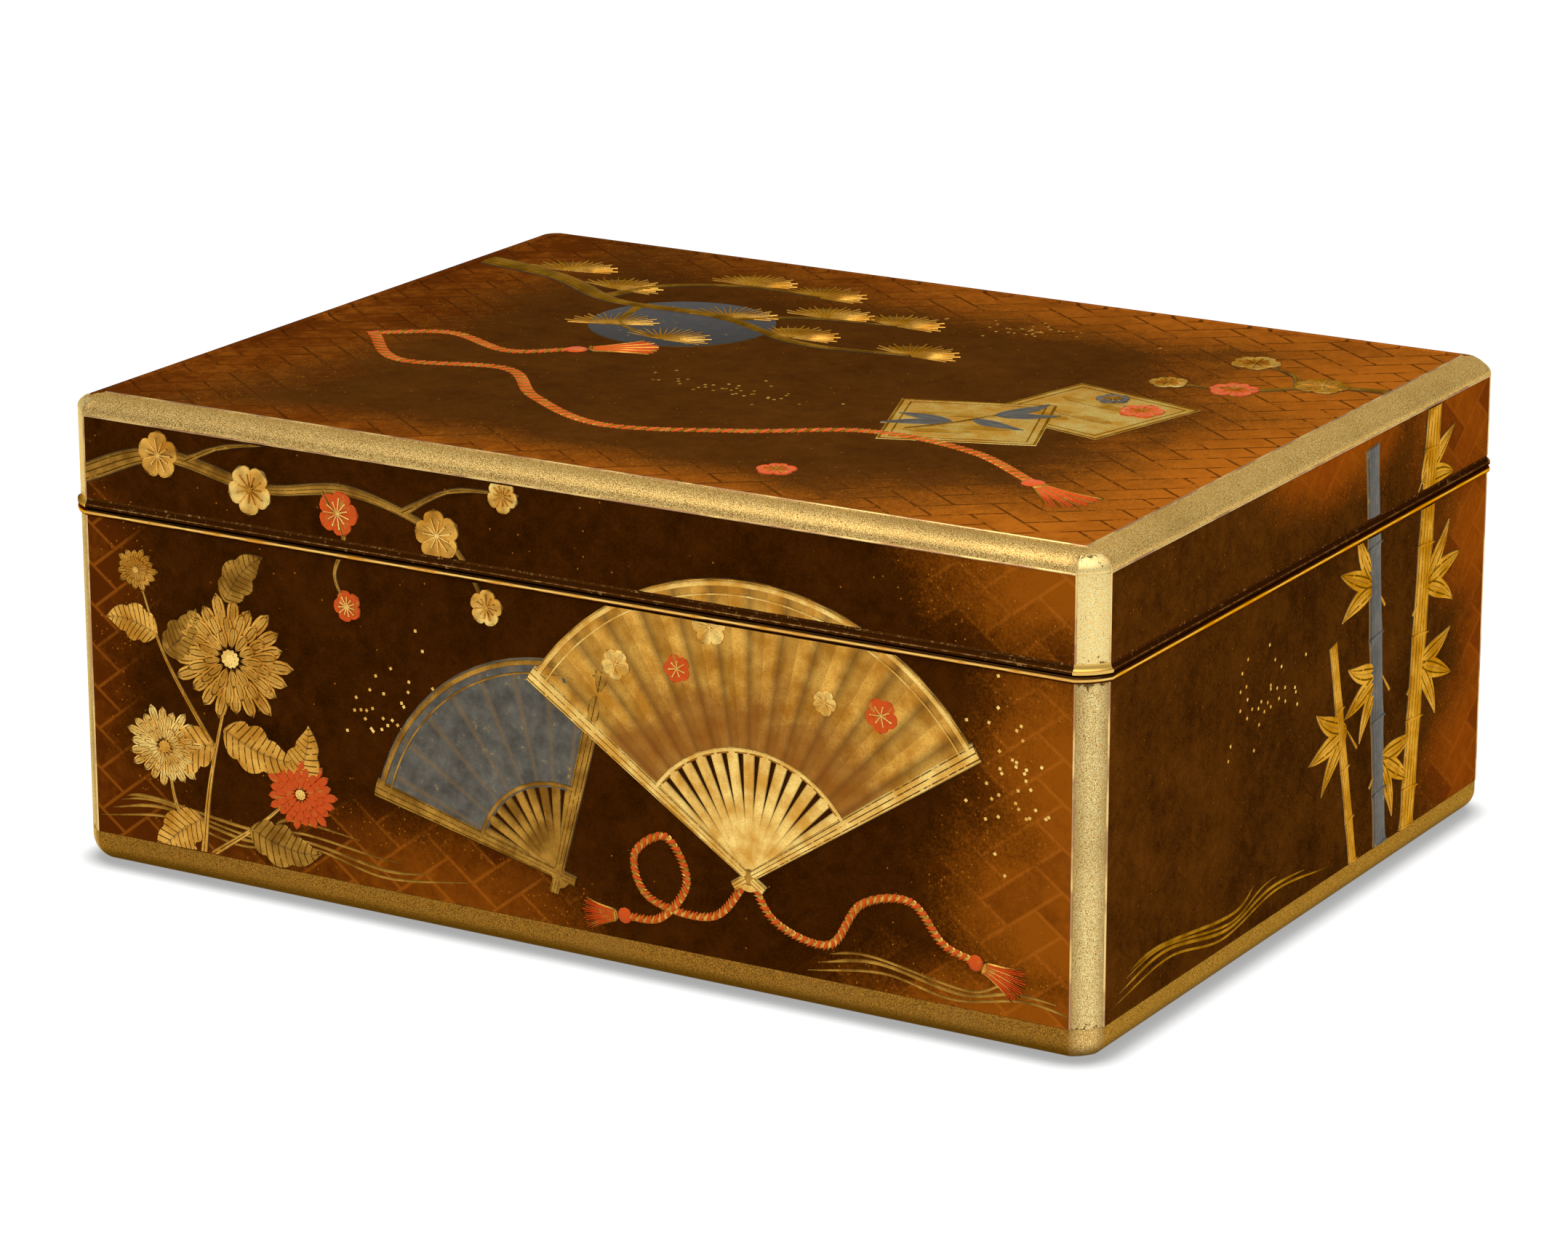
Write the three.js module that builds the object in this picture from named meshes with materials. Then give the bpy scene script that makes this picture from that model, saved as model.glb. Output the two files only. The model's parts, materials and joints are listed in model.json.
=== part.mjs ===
// Lacquered wooden document box: a deep base and a flush lid that lifts off over an inner riser.
// Millimetres, +Z up. X is the length, -Y the front, and the origin is the middle of the underside.
import * as THREE from "three";

// Overall sizes over the flat walls.
const LENGTH = 400;
const DEPTH = 305;
const HEIGHT = 168;

// The seam between base and lid.
const SEAM_HEIGHT = 129;
const SEAM_GAP = 0.3;

// Boards.
const WALL = 7;
const TOP_BOARD = 7;
const FLOOR_BOARD = 7;

// Upright corners: a chamfer whose face swells out by the sagitta.
const CORNER_CUT = 8.5;
const CORNER_SAGITTA = 1.1;
const LEAST_CUT = 0.5;

// Rounded strip round the top: how far its crown reaches past the wall, and how far it comes down.
const TOP_LEDGE = 3.4;
const TOP_BAND_DROP = 6.7;
const TOP_INNER_CUT = 1;
const PANEL_RECESS = 0.5;

// Rounded strip round the bottom.
const BOTTOM_ROUND = 8.5;
const BOTTOM_BAND_STRAIGHT = 3.3;
const BOTTOM_LEDGE = 3;
const BOTTOM_FLAT = 1.5;

// Raised lines that edge the gold bands.
const RIDGE_WIDTH = 0.9;
const RIDGE_PROUD = 0.35;

// Half-round bead on the base's rim.
const BEAD_HEIGHT = 2.7;
const BEAD_PROUD = 1.1;

// Flared rim of the lid: a cove that runs out into a lip.
const LID_RIM_HEIGHT = 3.4;
const LIP_HEIGHT = 1.2;
const LIP_PROUD = 1.1;
const LIP_ROUND = 0.4;

// Riser strips inside the base, which locate the lid.
const RISER_THICKNESS = 3;
const RISER_BELOW_SEAM = 16;
const RISER_ABOVE_SEAM = 9;
const RISER_CLEARANCE = 0.4;
const RISER_ROUND = 1;

// Facets.
const CORNER_STEPS = 6;
const CROWN_STEPS = 8;
const ROUND_STEPS = 6;
const BEAD_STEPS = 8;
const RIDGE_STEPS = 4;

// Heights where one piece ends and the next begins.
const TOP_BAND_LOW = HEIGHT - TOP_BAND_DROP;
const CEILING = HEIGHT - TOP_BOARD;
const BOTTOM_BAND_TOP = BOTTOM_ROUND + BOTTOM_BAND_STRAIGHT;
const BASE_WALL_TOP = SEAM_HEIGHT - BEAD_HEIGHT;
const LID_RIM_LOW = SEAM_HEIGHT + SEAM_GAP;
const LID_WALL_LOW = LID_RIM_LOW + LID_RIM_HEIGHT;
const PANEL_INSET = WALL + TOP_LEDGE;
const FLOOR_INSET = Math.max(WALL + BOTTOM_LEDGE, BOTTOM_ROUND + BOTTOM_FLAT);

// The corners in turn, anticlockwise from above, with the directions of travel into and out of each.
const EAST = new THREE.Vector2(1, 0);
const NORTH = new THREE.Vector2(0, 1);
const WEST = new THREE.Vector2(-1, 0);
const SOUTH = new THREE.Vector2(0, -1);
const CORNERS = [
  { name: "front_right", x: 1, y: -1, arriving: EAST, leaving: NORTH },
  { name: "back_right", x: 1, y: 1, arriving: NORTH, leaving: WEST },
  { name: "back_left", x: -1, y: 1, arriving: WEST, leaving: SOUTH },
  { name: "front_left", x: -1, y: -1, arriving: SOUTH, leaving: EAST },
];
const SIDES = ["front", "right", "back", "left"];

const goldPowder = () => new THREE.MeshStandardMaterial({ color: 0xc59a45, roughness: 0.45, metalness: 0.85 });
const brightGold = () => new THREE.MeshStandardMaterial({ color: 0xe0b254, roughness: 0.22, metalness: 1 });
const darkRim = () => new THREE.MeshStandardMaterial({ color: 0x3a2411, roughness: 0.3, metalness: 0.3 });
const ground = () => new THREE.MeshStandardMaterial({ color: 0x6e3710, roughness: 0.25, metalness: 0.1 });
const nashiji = () => new THREE.MeshStandardMaterial({ color: 0x7a4a1a, roughness: 0.3, metalness: 0.3 });

// The size of the corner's cut on a line that runs parallel to the outside at an inset.
function parallelCut(inset) {
  return Math.max(CORNER_CUT - inset * (2 - Math.SQRT2), LEAST_CUT);
}

// A point of the plan: t runs from 0 to 1 round one corner, at an inset from the outside.
function planPoint(corner, t, inset, cut = parallelCut(inset)) {
  const sharp = new THREE.Vector2(corner.x * (LENGTH / 2 - inset), corner.y * (DEPTH / 2 - inset));
  const start = sharp.clone().addScaledVector(corner.arriving, -cut);
  const end = sharp.clone().addScaledVector(corner.leaving, cut);
  const halfChord = cut / Math.SQRT2;
  const sagitta = (cut * CORNER_SAGITTA) / CORNER_CUT;
  const radius = (halfChord ** 2 + sagitta ** 2) / (2 * sagitta);
  const halfAngle = Math.asin(halfChord / radius);
  const angle = (2 * t - 1) * halfAngle;
  const along = end.clone().sub(start).normalize();
  const outward = new THREE.Vector2(along.y, -along.x);
  return start
    .add(end)
    .multiplyScalar(0.5)
    .addScaledVector(along, radius * Math.sin(angle))
    .addScaledVector(outward, radius * (Math.cos(angle) - Math.cos(halfAngle)));
}

// Stations round part of one corner.
function cornerStations(corner, from, to) {
  const steps = Math.round(CORNER_STEPS * (to - from));
  return Array.from({ length: steps + 1 }, (_, i) => ({ corner, t: from + ((to - from) * i) / steps }));
}

// Stations of one side: mitred through the middle of both corners, or only the straight run between them.
function sideStations(side, mitred) {
  const before = CORNERS[(side + 3) % 4];
  const after = CORNERS[side];
  return mitred
    ? [...cornerStations(before, 0.5, 1), ...cornerStations(after, 0, 0.5)]
    : [{ corner: before, t: 1 }, { corner: after, t: 0 }];
}

// Drops each point that repeats the one before it, which a change of size can bring together.
function distinct(profile) {
  return profile.filter((point, i) => {
    const last = profile[(i + profile.length - 1) % profile.length];
    return Math.hypot(point.inset - last.inset, point.z - last.z) > 1e-4;
  });
}

// A closed solid from a profile of insets and heights, swept along stations of the plan.
// The profile runs up the outside, in over the top and down the inside.
function sweep(stations, wholeProfile) {
  const profile = distinct(wholeProfile);
  const rings = stations.map(({ corner, t }) =>
    profile.map(({ inset, z, cut }) => {
      const at = planPoint(corner, t, inset, cut);
      return [at.x, at.y, z];
    }),
  );
  const positions = [];
  const triangle = (a, b, c) => positions.push(...a, ...b, ...c);
  for (let i = 0; i + 1 < rings.length; i += 1) {
    profile.forEach((_, j) => {
      const k = (j + 1) % profile.length;
      triangle(rings[i][j], rings[i + 1][j], rings[i][k]);
      triangle(rings[i + 1][j], rings[i + 1][k], rings[i][k]);
    });
  }
  const first = rings[0];
  const last = rings[rings.length - 1];
  const section = profile.map(({ inset, z }) => new THREE.Vector2(-inset, z));
  for (const [a, b, c] of THREE.ShapeUtils.triangulateShape(section, [])) {
    triangle(first[a], first[b], first[c]);
    triangle(last[a], last[c], last[b]);
  }
  const geometry = new THREE.BufferGeometry();
  geometry.setAttribute("position", new THREE.Float32BufferAttribute(positions, 3));
  geometry.computeVertexNormals();
  return geometry;
}

// An upright solid over a plan shape.
function prism(points, low, high) {
  const geometry = new THREE.ExtrudeGeometry(new THREE.Shape(points), { depth: high - low, bevelEnabled: false });
  geometry.translate(0, 0, low);
  return geometry;
}

// The whole outline of the box at an inset.
function outline(inset, cut) {
  return CORNERS.flatMap((corner) =>
    cornerStations(corner, 0, 1).map(({ t }) => planPoint(corner, t, inset, cut)),
  );
}

// Heights and swell of one raised line, from edge to edge.
function ridge(steps = RIDGE_STEPS) {
  return Array.from({ length: steps + 1 }, (_, i) => ({
    share: i / steps,
    proud: RIDGE_PROUD * Math.sin((Math.PI * i) / steps),
  }));
}

// A plain board or wall between two heights.
function wallProfile(low, high) {
  return [
    { inset: 0, z: low },
    { inset: 0, z: high },
    { inset: WALL, z: high },
    { inset: WALL, z: low },
  ];
}

// The corner's cut shrinks from the upright strip's own width to a nearly sharp mitre at the panel.
function crownCut(inset) {
  const share = (Math.max(inset, 0) / PANEL_INSET) ** 2;
  return parallelCut(inset) * (1 - share) + TOP_INNER_CUT * share;
}

// Top edge strip: a raised line, an elliptical crown, a second raised line, and a rebate for the board.
function topEdgeProfile() {
  const crownRun = PANEL_INSET - RIDGE_WIDTH;
  const crownRise = TOP_BAND_DROP - RIDGE_WIDTH;
  const lower = ridge().map(({ share, proud }) => ({ inset: -proud, z: TOP_BAND_LOW + share * RIDGE_WIDTH }));
  const crown = Array.from({ length: CROWN_STEPS - 1 }, (_, i) => {
    const angle = ((i + 1) / CROWN_STEPS) * (Math.PI / 2);
    return {
      inset: crownRun * (1 - Math.cos(angle)),
      z: TOP_BAND_LOW + RIDGE_WIDTH + crownRise * Math.sin(angle),
    };
  });
  const upper = ridge().map(({ share, proud }) => ({ inset: crownRun + share * RIDGE_WIDTH, z: HEIGHT + proud }));
  const outside = [...lower, ...crown, ...upper].map((point) => ({ ...point, cut: crownCut(point.inset) }));
  return [
    ...outside,
    { inset: PANEL_INSET, z: CEILING, cut: TOP_INNER_CUT },
    { inset: WALL, z: CEILING },
    { inset: WALL, z: TOP_BAND_LOW },
  ];
}

// Bottom edge strip: quarter-round outside, with a rebate inside that carries the floor board.
function bottomEdgeProfile() {
  const round = Array.from({ length: ROUND_STEPS + 1 }, (_, i) => {
    const angle = (i / ROUND_STEPS) * (Math.PI / 2);
    return {
      inset: BOTTOM_ROUND * (1 - Math.sin(angle)),
      z: BOTTOM_ROUND * (1 - Math.cos(angle)),
    };
  });
  return [
    ...round,
    { inset: 0, z: BOTTOM_BAND_TOP },
    { inset: WALL, z: BOTTOM_BAND_TOP },
    { inset: WALL, z: FLOOR_BOARD },
    { inset: FLOOR_INSET, z: FLOOR_BOARD },
    { inset: FLOOR_INSET, z: 0 },
  ];
}

// Base rim: a half-round bead along the outside of the wall's top.
function beadProfile() {
  const bead = Array.from({ length: BEAD_STEPS + 1 }, (_, i) => {
    const angle = (i / BEAD_STEPS - 0.5) * Math.PI;
    return {
      inset: -BEAD_PROUD * Math.cos(angle),
      z: BASE_WALL_TOP + (BEAD_HEIGHT / 2) * (1 + Math.sin(angle)),
    };
  });
  return [...bead, { inset: WALL, z: SEAM_HEIGHT }, { inset: WALL, z: BASE_WALL_TOP }];
}

// Lid rim: a rounded lip at the seam, and a cove above it that sweeps in to the wall.
function lidRimProfile() {
  const coveRise = LID_RIM_HEIGHT - LIP_HEIGHT;
  const cove = Array.from({ length: ROUND_STEPS + 1 }, (_, i) => {
    const angle = (1 - i / ROUND_STEPS) * (Math.PI / 2);
    return {
      inset: LIP_PROUD * (Math.cos(angle) - 1),
      z: LID_WALL_LOW - coveRise * Math.sin(angle),
    };
  });
  return [
    { inset: LIP_ROUND - LIP_PROUD, z: LID_RIM_LOW },
    { inset: -LIP_PROUD, z: LID_RIM_LOW + LIP_ROUND },
    ...cove,
    { inset: WALL, z: LID_WALL_LOW },
    { inset: WALL, z: LID_RIM_LOW },
  ];
}

// Riser strip: it lies on the base's wall below the seam and stands clear of the lid's above it.
function riserProfile() {
  const top = SEAM_HEIGHT + RISER_ABOVE_SEAM;
  const inside = WALL + RISER_THICKNESS;
  const above = WALL + RISER_CLEARANCE;
  return [
    { inset: WALL, z: SEAM_HEIGHT - RISER_BELOW_SEAM },
    { inset: WALL, z: SEAM_HEIGHT },
    { inset: above, z: SEAM_HEIGHT },
    { inset: above, z: top - RISER_ROUND },
    { inset: above + RISER_ROUND, z: top },
    { inset: inside, z: top },
    { inset: inside, z: SEAM_HEIGHT - RISER_BELOW_SEAM },
  ];
}

// Corner strip in plan: the swelling chamfer between its two raised lines, and the rounded inner corner.
function cornerStripPlan(corner) {
  const arcLength = CORNER_CUT * Math.SQRT2;
  const ridgeShare = RIDGE_WIDTH / arcLength;
  const raised = ridge().map(({ share, proud }) => ({ t: share * ridgeShare, proud }));
  const face = cornerStations(corner, 0, 1)
    .map(({ t }) => ({ t, proud: 0 }))
    .filter(({ t }) => t > ridgeShare && t < 1 - ridgeShare);
  const mirrored = [...raised].reverse().map(({ t, proud }) => ({ t: 1 - t, proud }));
  const outside = [...raised, ...face, ...mirrored].map(({ t, proud }) => planPoint(corner, t, -proud));
  const inside = cornerStations(corner, 0, 1).map(({ t }) => planPoint(corner, t, WALL));
  return [...outside, ...inside.reverse()];
}

function piece(name, geometry, material) {
  const mesh = new THREE.Mesh(geometry, material);
  mesh.name = name;
  return mesh;
}

// Four pieces, one to a side, from the same profile.
function fourSides(prefix, profile, material, mitred) {
  return SIDES.map((side, i) => piece(prefix + "_" + side, sweep(sideStations(i, mitred), profile), material()));
}

// Four upright strips, one to a corner.
function fourCorners(prefix, low, high, material) {
  return CORNERS.map((corner) =>
    piece(prefix + "_" + corner.name, prism(cornerStripPlan(corner), low, high), material()),
  );
}

function makeBase() {
  const base = new THREE.Group();
  base.add(piece("base_floor", prism(outline(FLOOR_INSET), 0, FLOOR_BOARD), nashiji()));
  base.add(...fourSides("base_edge", bottomEdgeProfile(), goldPowder, true));
  base.add(...fourSides("base_wall", wallProfile(BOTTOM_BAND_TOP, BASE_WALL_TOP), ground, false));
  base.add(...fourCorners("base_corner", BOTTOM_BAND_TOP, BASE_WALL_TOP, goldPowder));
  base.add(...fourSides("base_rim", beadProfile(), brightGold, true));
  base.add(...fourSides("base_riser", riserProfile(), nashiji, true));
  return base;
}

function makeLid() {
  const lid = new THREE.Group();
  const panel = outline(PANEL_INSET, TOP_INNER_CUT);
  lid.add(piece("lid_panel", prism(panel, CEILING, HEIGHT - PANEL_RECESS), ground()));
  lid.add(...fourSides("lid_edge", topEdgeProfile(), goldPowder, true));
  lid.add(...fourSides("lid_wall", wallProfile(LID_WALL_LOW, TOP_BAND_LOW), ground, false));
  lid.add(...fourCorners("lid_corner", LID_WALL_LOW, TOP_BAND_LOW, goldPowder));
  lid.add(...fourSides("lid_rim", lidRimProfile(), darkRim, true));
  return lid;
}

const box = new THREE.Group();
box.add(makeBase(), makeLid());

export default box;
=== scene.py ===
"""Dresses a lacquered wooden document box: gold edges, a herringbone ground and raised gold work.

Lengths are in millimetres until a mesh is finished, and in metres in the scene itself.
"""
import json
import logging
import math
import random
from collections.abc import Callable, Sequence
from dataclasses import dataclass, field, replace
from enum import Enum
from functools import partial

import bmesh
import bpy
from mathutils import Matrix, Vector

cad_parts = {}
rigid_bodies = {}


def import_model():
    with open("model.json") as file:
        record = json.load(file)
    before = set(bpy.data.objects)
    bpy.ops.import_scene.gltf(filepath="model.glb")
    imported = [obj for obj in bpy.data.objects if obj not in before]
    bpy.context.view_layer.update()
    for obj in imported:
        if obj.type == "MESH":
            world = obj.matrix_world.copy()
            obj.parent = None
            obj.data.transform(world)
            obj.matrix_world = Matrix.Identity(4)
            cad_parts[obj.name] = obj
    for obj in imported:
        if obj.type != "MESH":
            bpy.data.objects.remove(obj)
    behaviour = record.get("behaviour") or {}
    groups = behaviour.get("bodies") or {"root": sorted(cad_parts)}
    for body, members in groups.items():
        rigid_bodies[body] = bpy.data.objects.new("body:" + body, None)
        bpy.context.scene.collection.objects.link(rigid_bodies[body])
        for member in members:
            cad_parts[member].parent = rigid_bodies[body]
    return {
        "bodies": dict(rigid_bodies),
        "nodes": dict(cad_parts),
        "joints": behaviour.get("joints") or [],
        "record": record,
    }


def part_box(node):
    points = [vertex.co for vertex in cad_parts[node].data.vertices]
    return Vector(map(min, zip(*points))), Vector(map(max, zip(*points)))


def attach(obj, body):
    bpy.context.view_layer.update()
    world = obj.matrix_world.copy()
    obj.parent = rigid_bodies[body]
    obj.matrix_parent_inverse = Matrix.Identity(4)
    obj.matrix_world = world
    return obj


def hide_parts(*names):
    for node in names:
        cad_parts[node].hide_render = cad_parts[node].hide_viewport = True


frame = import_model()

log = logging.getLogger("lacquer_box")
MM = 0.001
# Edges that turn by more degrees than this stay sharp.
SHARP_FROM = 38
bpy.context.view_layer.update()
Node = bpy.types.Node
Socket = bpy.types.NodeSocket
Adder = Callable[..., Node]


def linear(code: str) -> tuple[float, float, float, float]:
    """Turns an sRGB hex colour to linear light with full opacity."""
    shares = [int(code[i : i + 2], 16) / 255 for i in (0, 2, 4)]
    light = [s / 12.92 if s <= 0.04045 else ((s + 0.055) / 1.055) ** 2.4 for s in shares]
    return (light[0], light[1], light[2], 1.0)


def feed(node: Node, inputs: dict) -> None:
    """Gives a node's sockets their constants and links.

    Args:
        node: The node.
        inputs: Socket names or numbers, with a constant, a node or an output socket for each.
    """
    for key, value in inputs.items():
        if isinstance(value, Node):
            value = next(output for output in value.outputs if output.enabled)
        if isinstance(value, Socket):
            node.id_data.links.new(value, node.inputs[key])
        else:
            node.inputs[key].default_value = value


def put(tree: bpy.types.NodeTree, kind: str, inputs: dict | None = None, **settings: object) -> Node:
    """Adds one shader node with its settings and links.

    Args:
        tree: The node tree that takes the node.
        kind: The node's type, without its ShaderNode prefix.
        inputs: What its sockets get, as for feed.
        **settings: Properties of the node itself.

    Returns:
        The new node.
    """
    node = tree.nodes.new("ShaderNode" + kind)
    for name, value in settings.items():
        setattr(node, name, value)
    feed(node, inputs or {})
    return node


def shown(name: str, data: bpy.types.ID) -> bpy.types.Object:
    """Puts a new object that holds the data into the scene."""
    made = bpy.data.objects.new(name, data)
    bpy.context.scene.collection.objects.link(made)
    return made


class Plane(Enum):
    """The object axes that run across, up and into a face."""

    FRONT = ("X", "Z", "Y")
    SIDE = ("Y", "Z", "X")
    TOP = ("X", "Y", "Z")


@dataclass(frozen=True)
class Finish:
    """A surface finish, made once and shared by the pieces that have it."""

    name: str

    def material(self) -> bpy.types.Material:
        """Returns the finish's material, painted on its first use."""
        found = bpy.data.materials.get(self.name)
        if found:
            return found
        made = bpy.data.materials.new(self.name)
        made.use_nodes = True
        add = partial(put, made.node_tree)
        place = add("TexCoord").outputs["Object"]
        feed(made.node_tree.nodes["Principled BSDF"], self.paint(add, place))
        return made

    def paint(self, add: Adder, place: Socket) -> dict:
        """Adds the finish's nodes.

        Args:
            add: Adds a node to the finish's tree.
            place: The object coordinates, in metres.

        Returns:
            What the shader's sockets get, by name.
        """
        raise NotImplementedError


@dataclass(frozen=True)
class GoldPowder(Finish):
    """Gold powder sprinkled in lacquer and polished: a sandy, glittering metal with dark pits."""

    light: str = "FFE496"
    deep: str = "BC8230"
    pit: str = "4E3612"
    grain: float = 0.3
    roughness: float = 0.47
    pitted: float = 0.42
    # Below this height in mm the powder is browned towards the table as painted shade; 0 leaves it out.
    foot: float = 0.0

    def paint(self, add: Adder, place: Socket) -> dict:
        """Mixes two golds by grain, darkens pits, dulls broad patches, and paints shade towards the foot."""
        # The real grains are about 0.2 mm; they are drawn at 0.3 mm so that they show.
        grain = add("TexNoise", {"Vector": place, "Scale": 1 / (self.grain * MM), "Detail": 1.5})
        share = add("MapRange", {0: grain, 1: 0.4, 2: 0.6})
        gold = add("Mix", {0: share, 6: linear(self.deep), 7: linear(self.light)}, data_type="RGBA")
        pits = add("TexNoise", {"Vector": place, "Scale": 0.8 / (self.grain * MM), "Detail": 2.0})
        pit = add("MapRange", {0: pits, 1: self.pitted, 2: self.pitted - 0.06, 4: 0.85})
        pitted = add("Mix", {0: pit, 6: gold, 7: linear(self.pit)}, data_type="RGBA")
        # Handling has dulled patches some 40 mm across.
        broad = add("TexNoise", {"Vector": place, "Scale": 1 / (40 * MM), "Detail": 3.0})
        dull = add("MapRange", {0: broad, 1: 0.48, 2: 0.72, 3: 0.0, 4: 0.25})
        worn = add("Mix", {0: dull, 6: pitted, 7: linear("966C30")}, data_type="RGBA")
        if self.foot:
            # Painted shade: the powder darkens towards the table, down to the brown of the lacquer, where the
            # band rounds under and away from the light.
            height = add("SeparateXYZ", {0: place}).outputs["Z"]
            spread = {0: height, 1: self.foot * MM, 2: 0.0, 4: 0.75}
            low = add("MapRange", spread, interpolation_type="SMOOTHSTEP")
            worn = add("Mix", {0: low, 6: worn, 7: linear("6E4210")}, data_type="RGBA")
        sleek, matt = self.roughness - 0.08, self.roughness + 0.12
        rough = add("MapRange", {0: grain, 1: 0.3, 2: 0.7, 3: sleek, 4: matt})
        bump = add("Bump", {"Height": grain, "Strength": 0.5, "Distance": 0.08 * MM})
        return {
            "Base Color": worn,
            "Roughness": rough,
            "Normal": bump,
            "Metallic": 1.0,
            "Specular Tint": linear("F6DCA8"),
        }


@dataclass(frozen=True)
class CornerGold(GoldPowder):
    """Gold powder on the upright corners: bright on the crest and olive down the sides, as painted light and
    shade across the rounded strip, and worn at the ends.
    """

    half_length: float = 200.0
    half_depth: float = 152.5
    half_width: float = 8.5
    # The colour and the share of the painted shade down the strip's sides.
    side: str = "86621E"
    side_shade: float = 0.6
    ends: tuple[float, float] = (0.0, 168.0)

    def paint(self, add: Adder, place: Socket) -> dict:
        """Paints shade by darkening the powder away from the crest, and wears spots of it off near the ends.
        """
        coat = super().paint(add, place)
        axes = add("SeparateXYZ", {0: place})
        past = []
        for axis, half in (("X", self.half_length), ("Y", self.half_depth)):
            size = add("Math", {0: axes.outputs[axis]}, operation="ABSOLUTE")
            past.append(add("Math", {0: size, 1: half * MM}, operation="SUBTRACT"))
        across = add("Math", {0: past[0], 1: past[1]}, operation="SUBTRACT")
        away = add("Math", {0: across}, operation="ABSOLUTE")
        drift = add("TexNoise", {"Vector": place, "Scale": 1 / (12 * MM), "Detail": 4.0})
        moved = add("Math", {0: drift, 1: 5 * MM, 2: away}, operation="MULTIPLY_ADD")
        reach = self.half_width * MM
        # Painted shade: the powder turns olive away from the crest, as on a rounded strip that falls away
        # from the light.
        in_painted_shade = add("MapRange", {0: moved, 1: 0.5 * reach, 2: 1.25 * reach, 4: self.side_shade})
        olive = add("Mix", {0: in_painted_shade, 6: coat["Base Color"], 7: linear(self.side)}, data_type="RGBA")
        rub = add("TexNoise", {"Vector": place, "Scale": 1 / (2.4 * MM), "Detail": 5.0, "Roughness": 0.65})
        gaps = []
        for end in self.ends:
            above = add("Math", {0: axes.outputs["Z"], 1: end * MM}, operation="SUBTRACT")
            gaps.append(add("Math", {0: above}, operation="ABSOLUTE"))
        nearest = add("Math", {0: gaps[0], 1: gaps[1]}, operation="MINIMUM")
        limit = add("MapRange", {0: nearest, 1: 0.0, 2: 5 * MM, 3: 0.52, 4: 0.76})
        over = add("Math", {0: rub, 1: limit}, operation="SUBTRACT")
        gone = add("MapRange", {0: over, 1: 0.0, 2: 0.03, 4: 0.85})
        whole = add("Mix", {0: gone, 6: olive, 7: linear("4A2E0C")}, data_type="RGBA")
        return {**coat, "Base Color": whole}


@dataclass(frozen=True)
class BrightGold(Finish):
    """Gold powder burnished to a smooth bright bead, browned above and below its middle as painted shade on
    the round bead.
    """

    middle: float = 0.0
    half_height: float = 1.35

    def paint(self, add: Adder, place: Socket) -> dict:
        """Paints shade by browning the metal away from the bead's crest, over a width that wanders with long
        faint wear.
        """
        wear = add("TexNoise", {"Vector": place, "Scale": 1 / (14 * MM), "Detail": 6.0, "Roughness": 0.65})
        share = add("MapRange", {0: wear, 1: 0.4, 2: 0.62})
        gold = add("Mix", {0: share, 6: linear("FFD070"), 7: linear("D08C30")}, data_type="RGBA")
        height = add("SeparateXYZ", {0: place}).outputs["Z"]
        above = add("Math", {0: height, 1: self.middle * MM}, operation="SUBTRACT")
        away = add("Math", {0: above}, operation="ABSOLUTE")
        reach = self.half_height * MM
        # Painted shade: only a band along the bead's middle stays bright, and the metal browns above and
        # below it.
        crest = add("MapRange", {0: wear, 1: 0.35, 2: 0.65, 3: 0.02 * reach, 4: 0.3 * reach})
        below = add("Math", {0: away, 1: crest}, operation="SUBTRACT")
        hollow = add("MapRange", {0: below, 1: 0.0, 2: 0.3 * reach}, interpolation_type="SMOOTHSTEP")
        worn = add("Mix", {0: hollow, 6: gold, 7: linear("3E220A")}, data_type="RGBA")
        return {
            "Base Color": worn,
            "Metallic": 1.0,
            "Roughness": 0.2,
            "Specular Tint": linear("E8B450"),
        }


@dataclass(frozen=True)
class RidgeLine(Finish):
    """The thin raised line along a gold band, rubbed through here and there to a brownish pink."""

    def paint(self, add: Adder, place: Socket) -> dict:
        """Wears a bright gold line in long soft stretches."""
        rub = add("TexNoise", {"Vector": place, "Scale": 1 / (16 * MM), "Detail": 4.0})
        share = add("MapRange", {0: rub, 1: 0.44, 2: 0.58})
        metal = add("Mix", {0: share, 6: linear("F2CE82"), 7: linear("B98C5E")}, data_type="RGBA")
        return {
            "Base Color": metal,
            "Metallic": 0.85,
            "Roughness": 0.36,
        }


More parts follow.
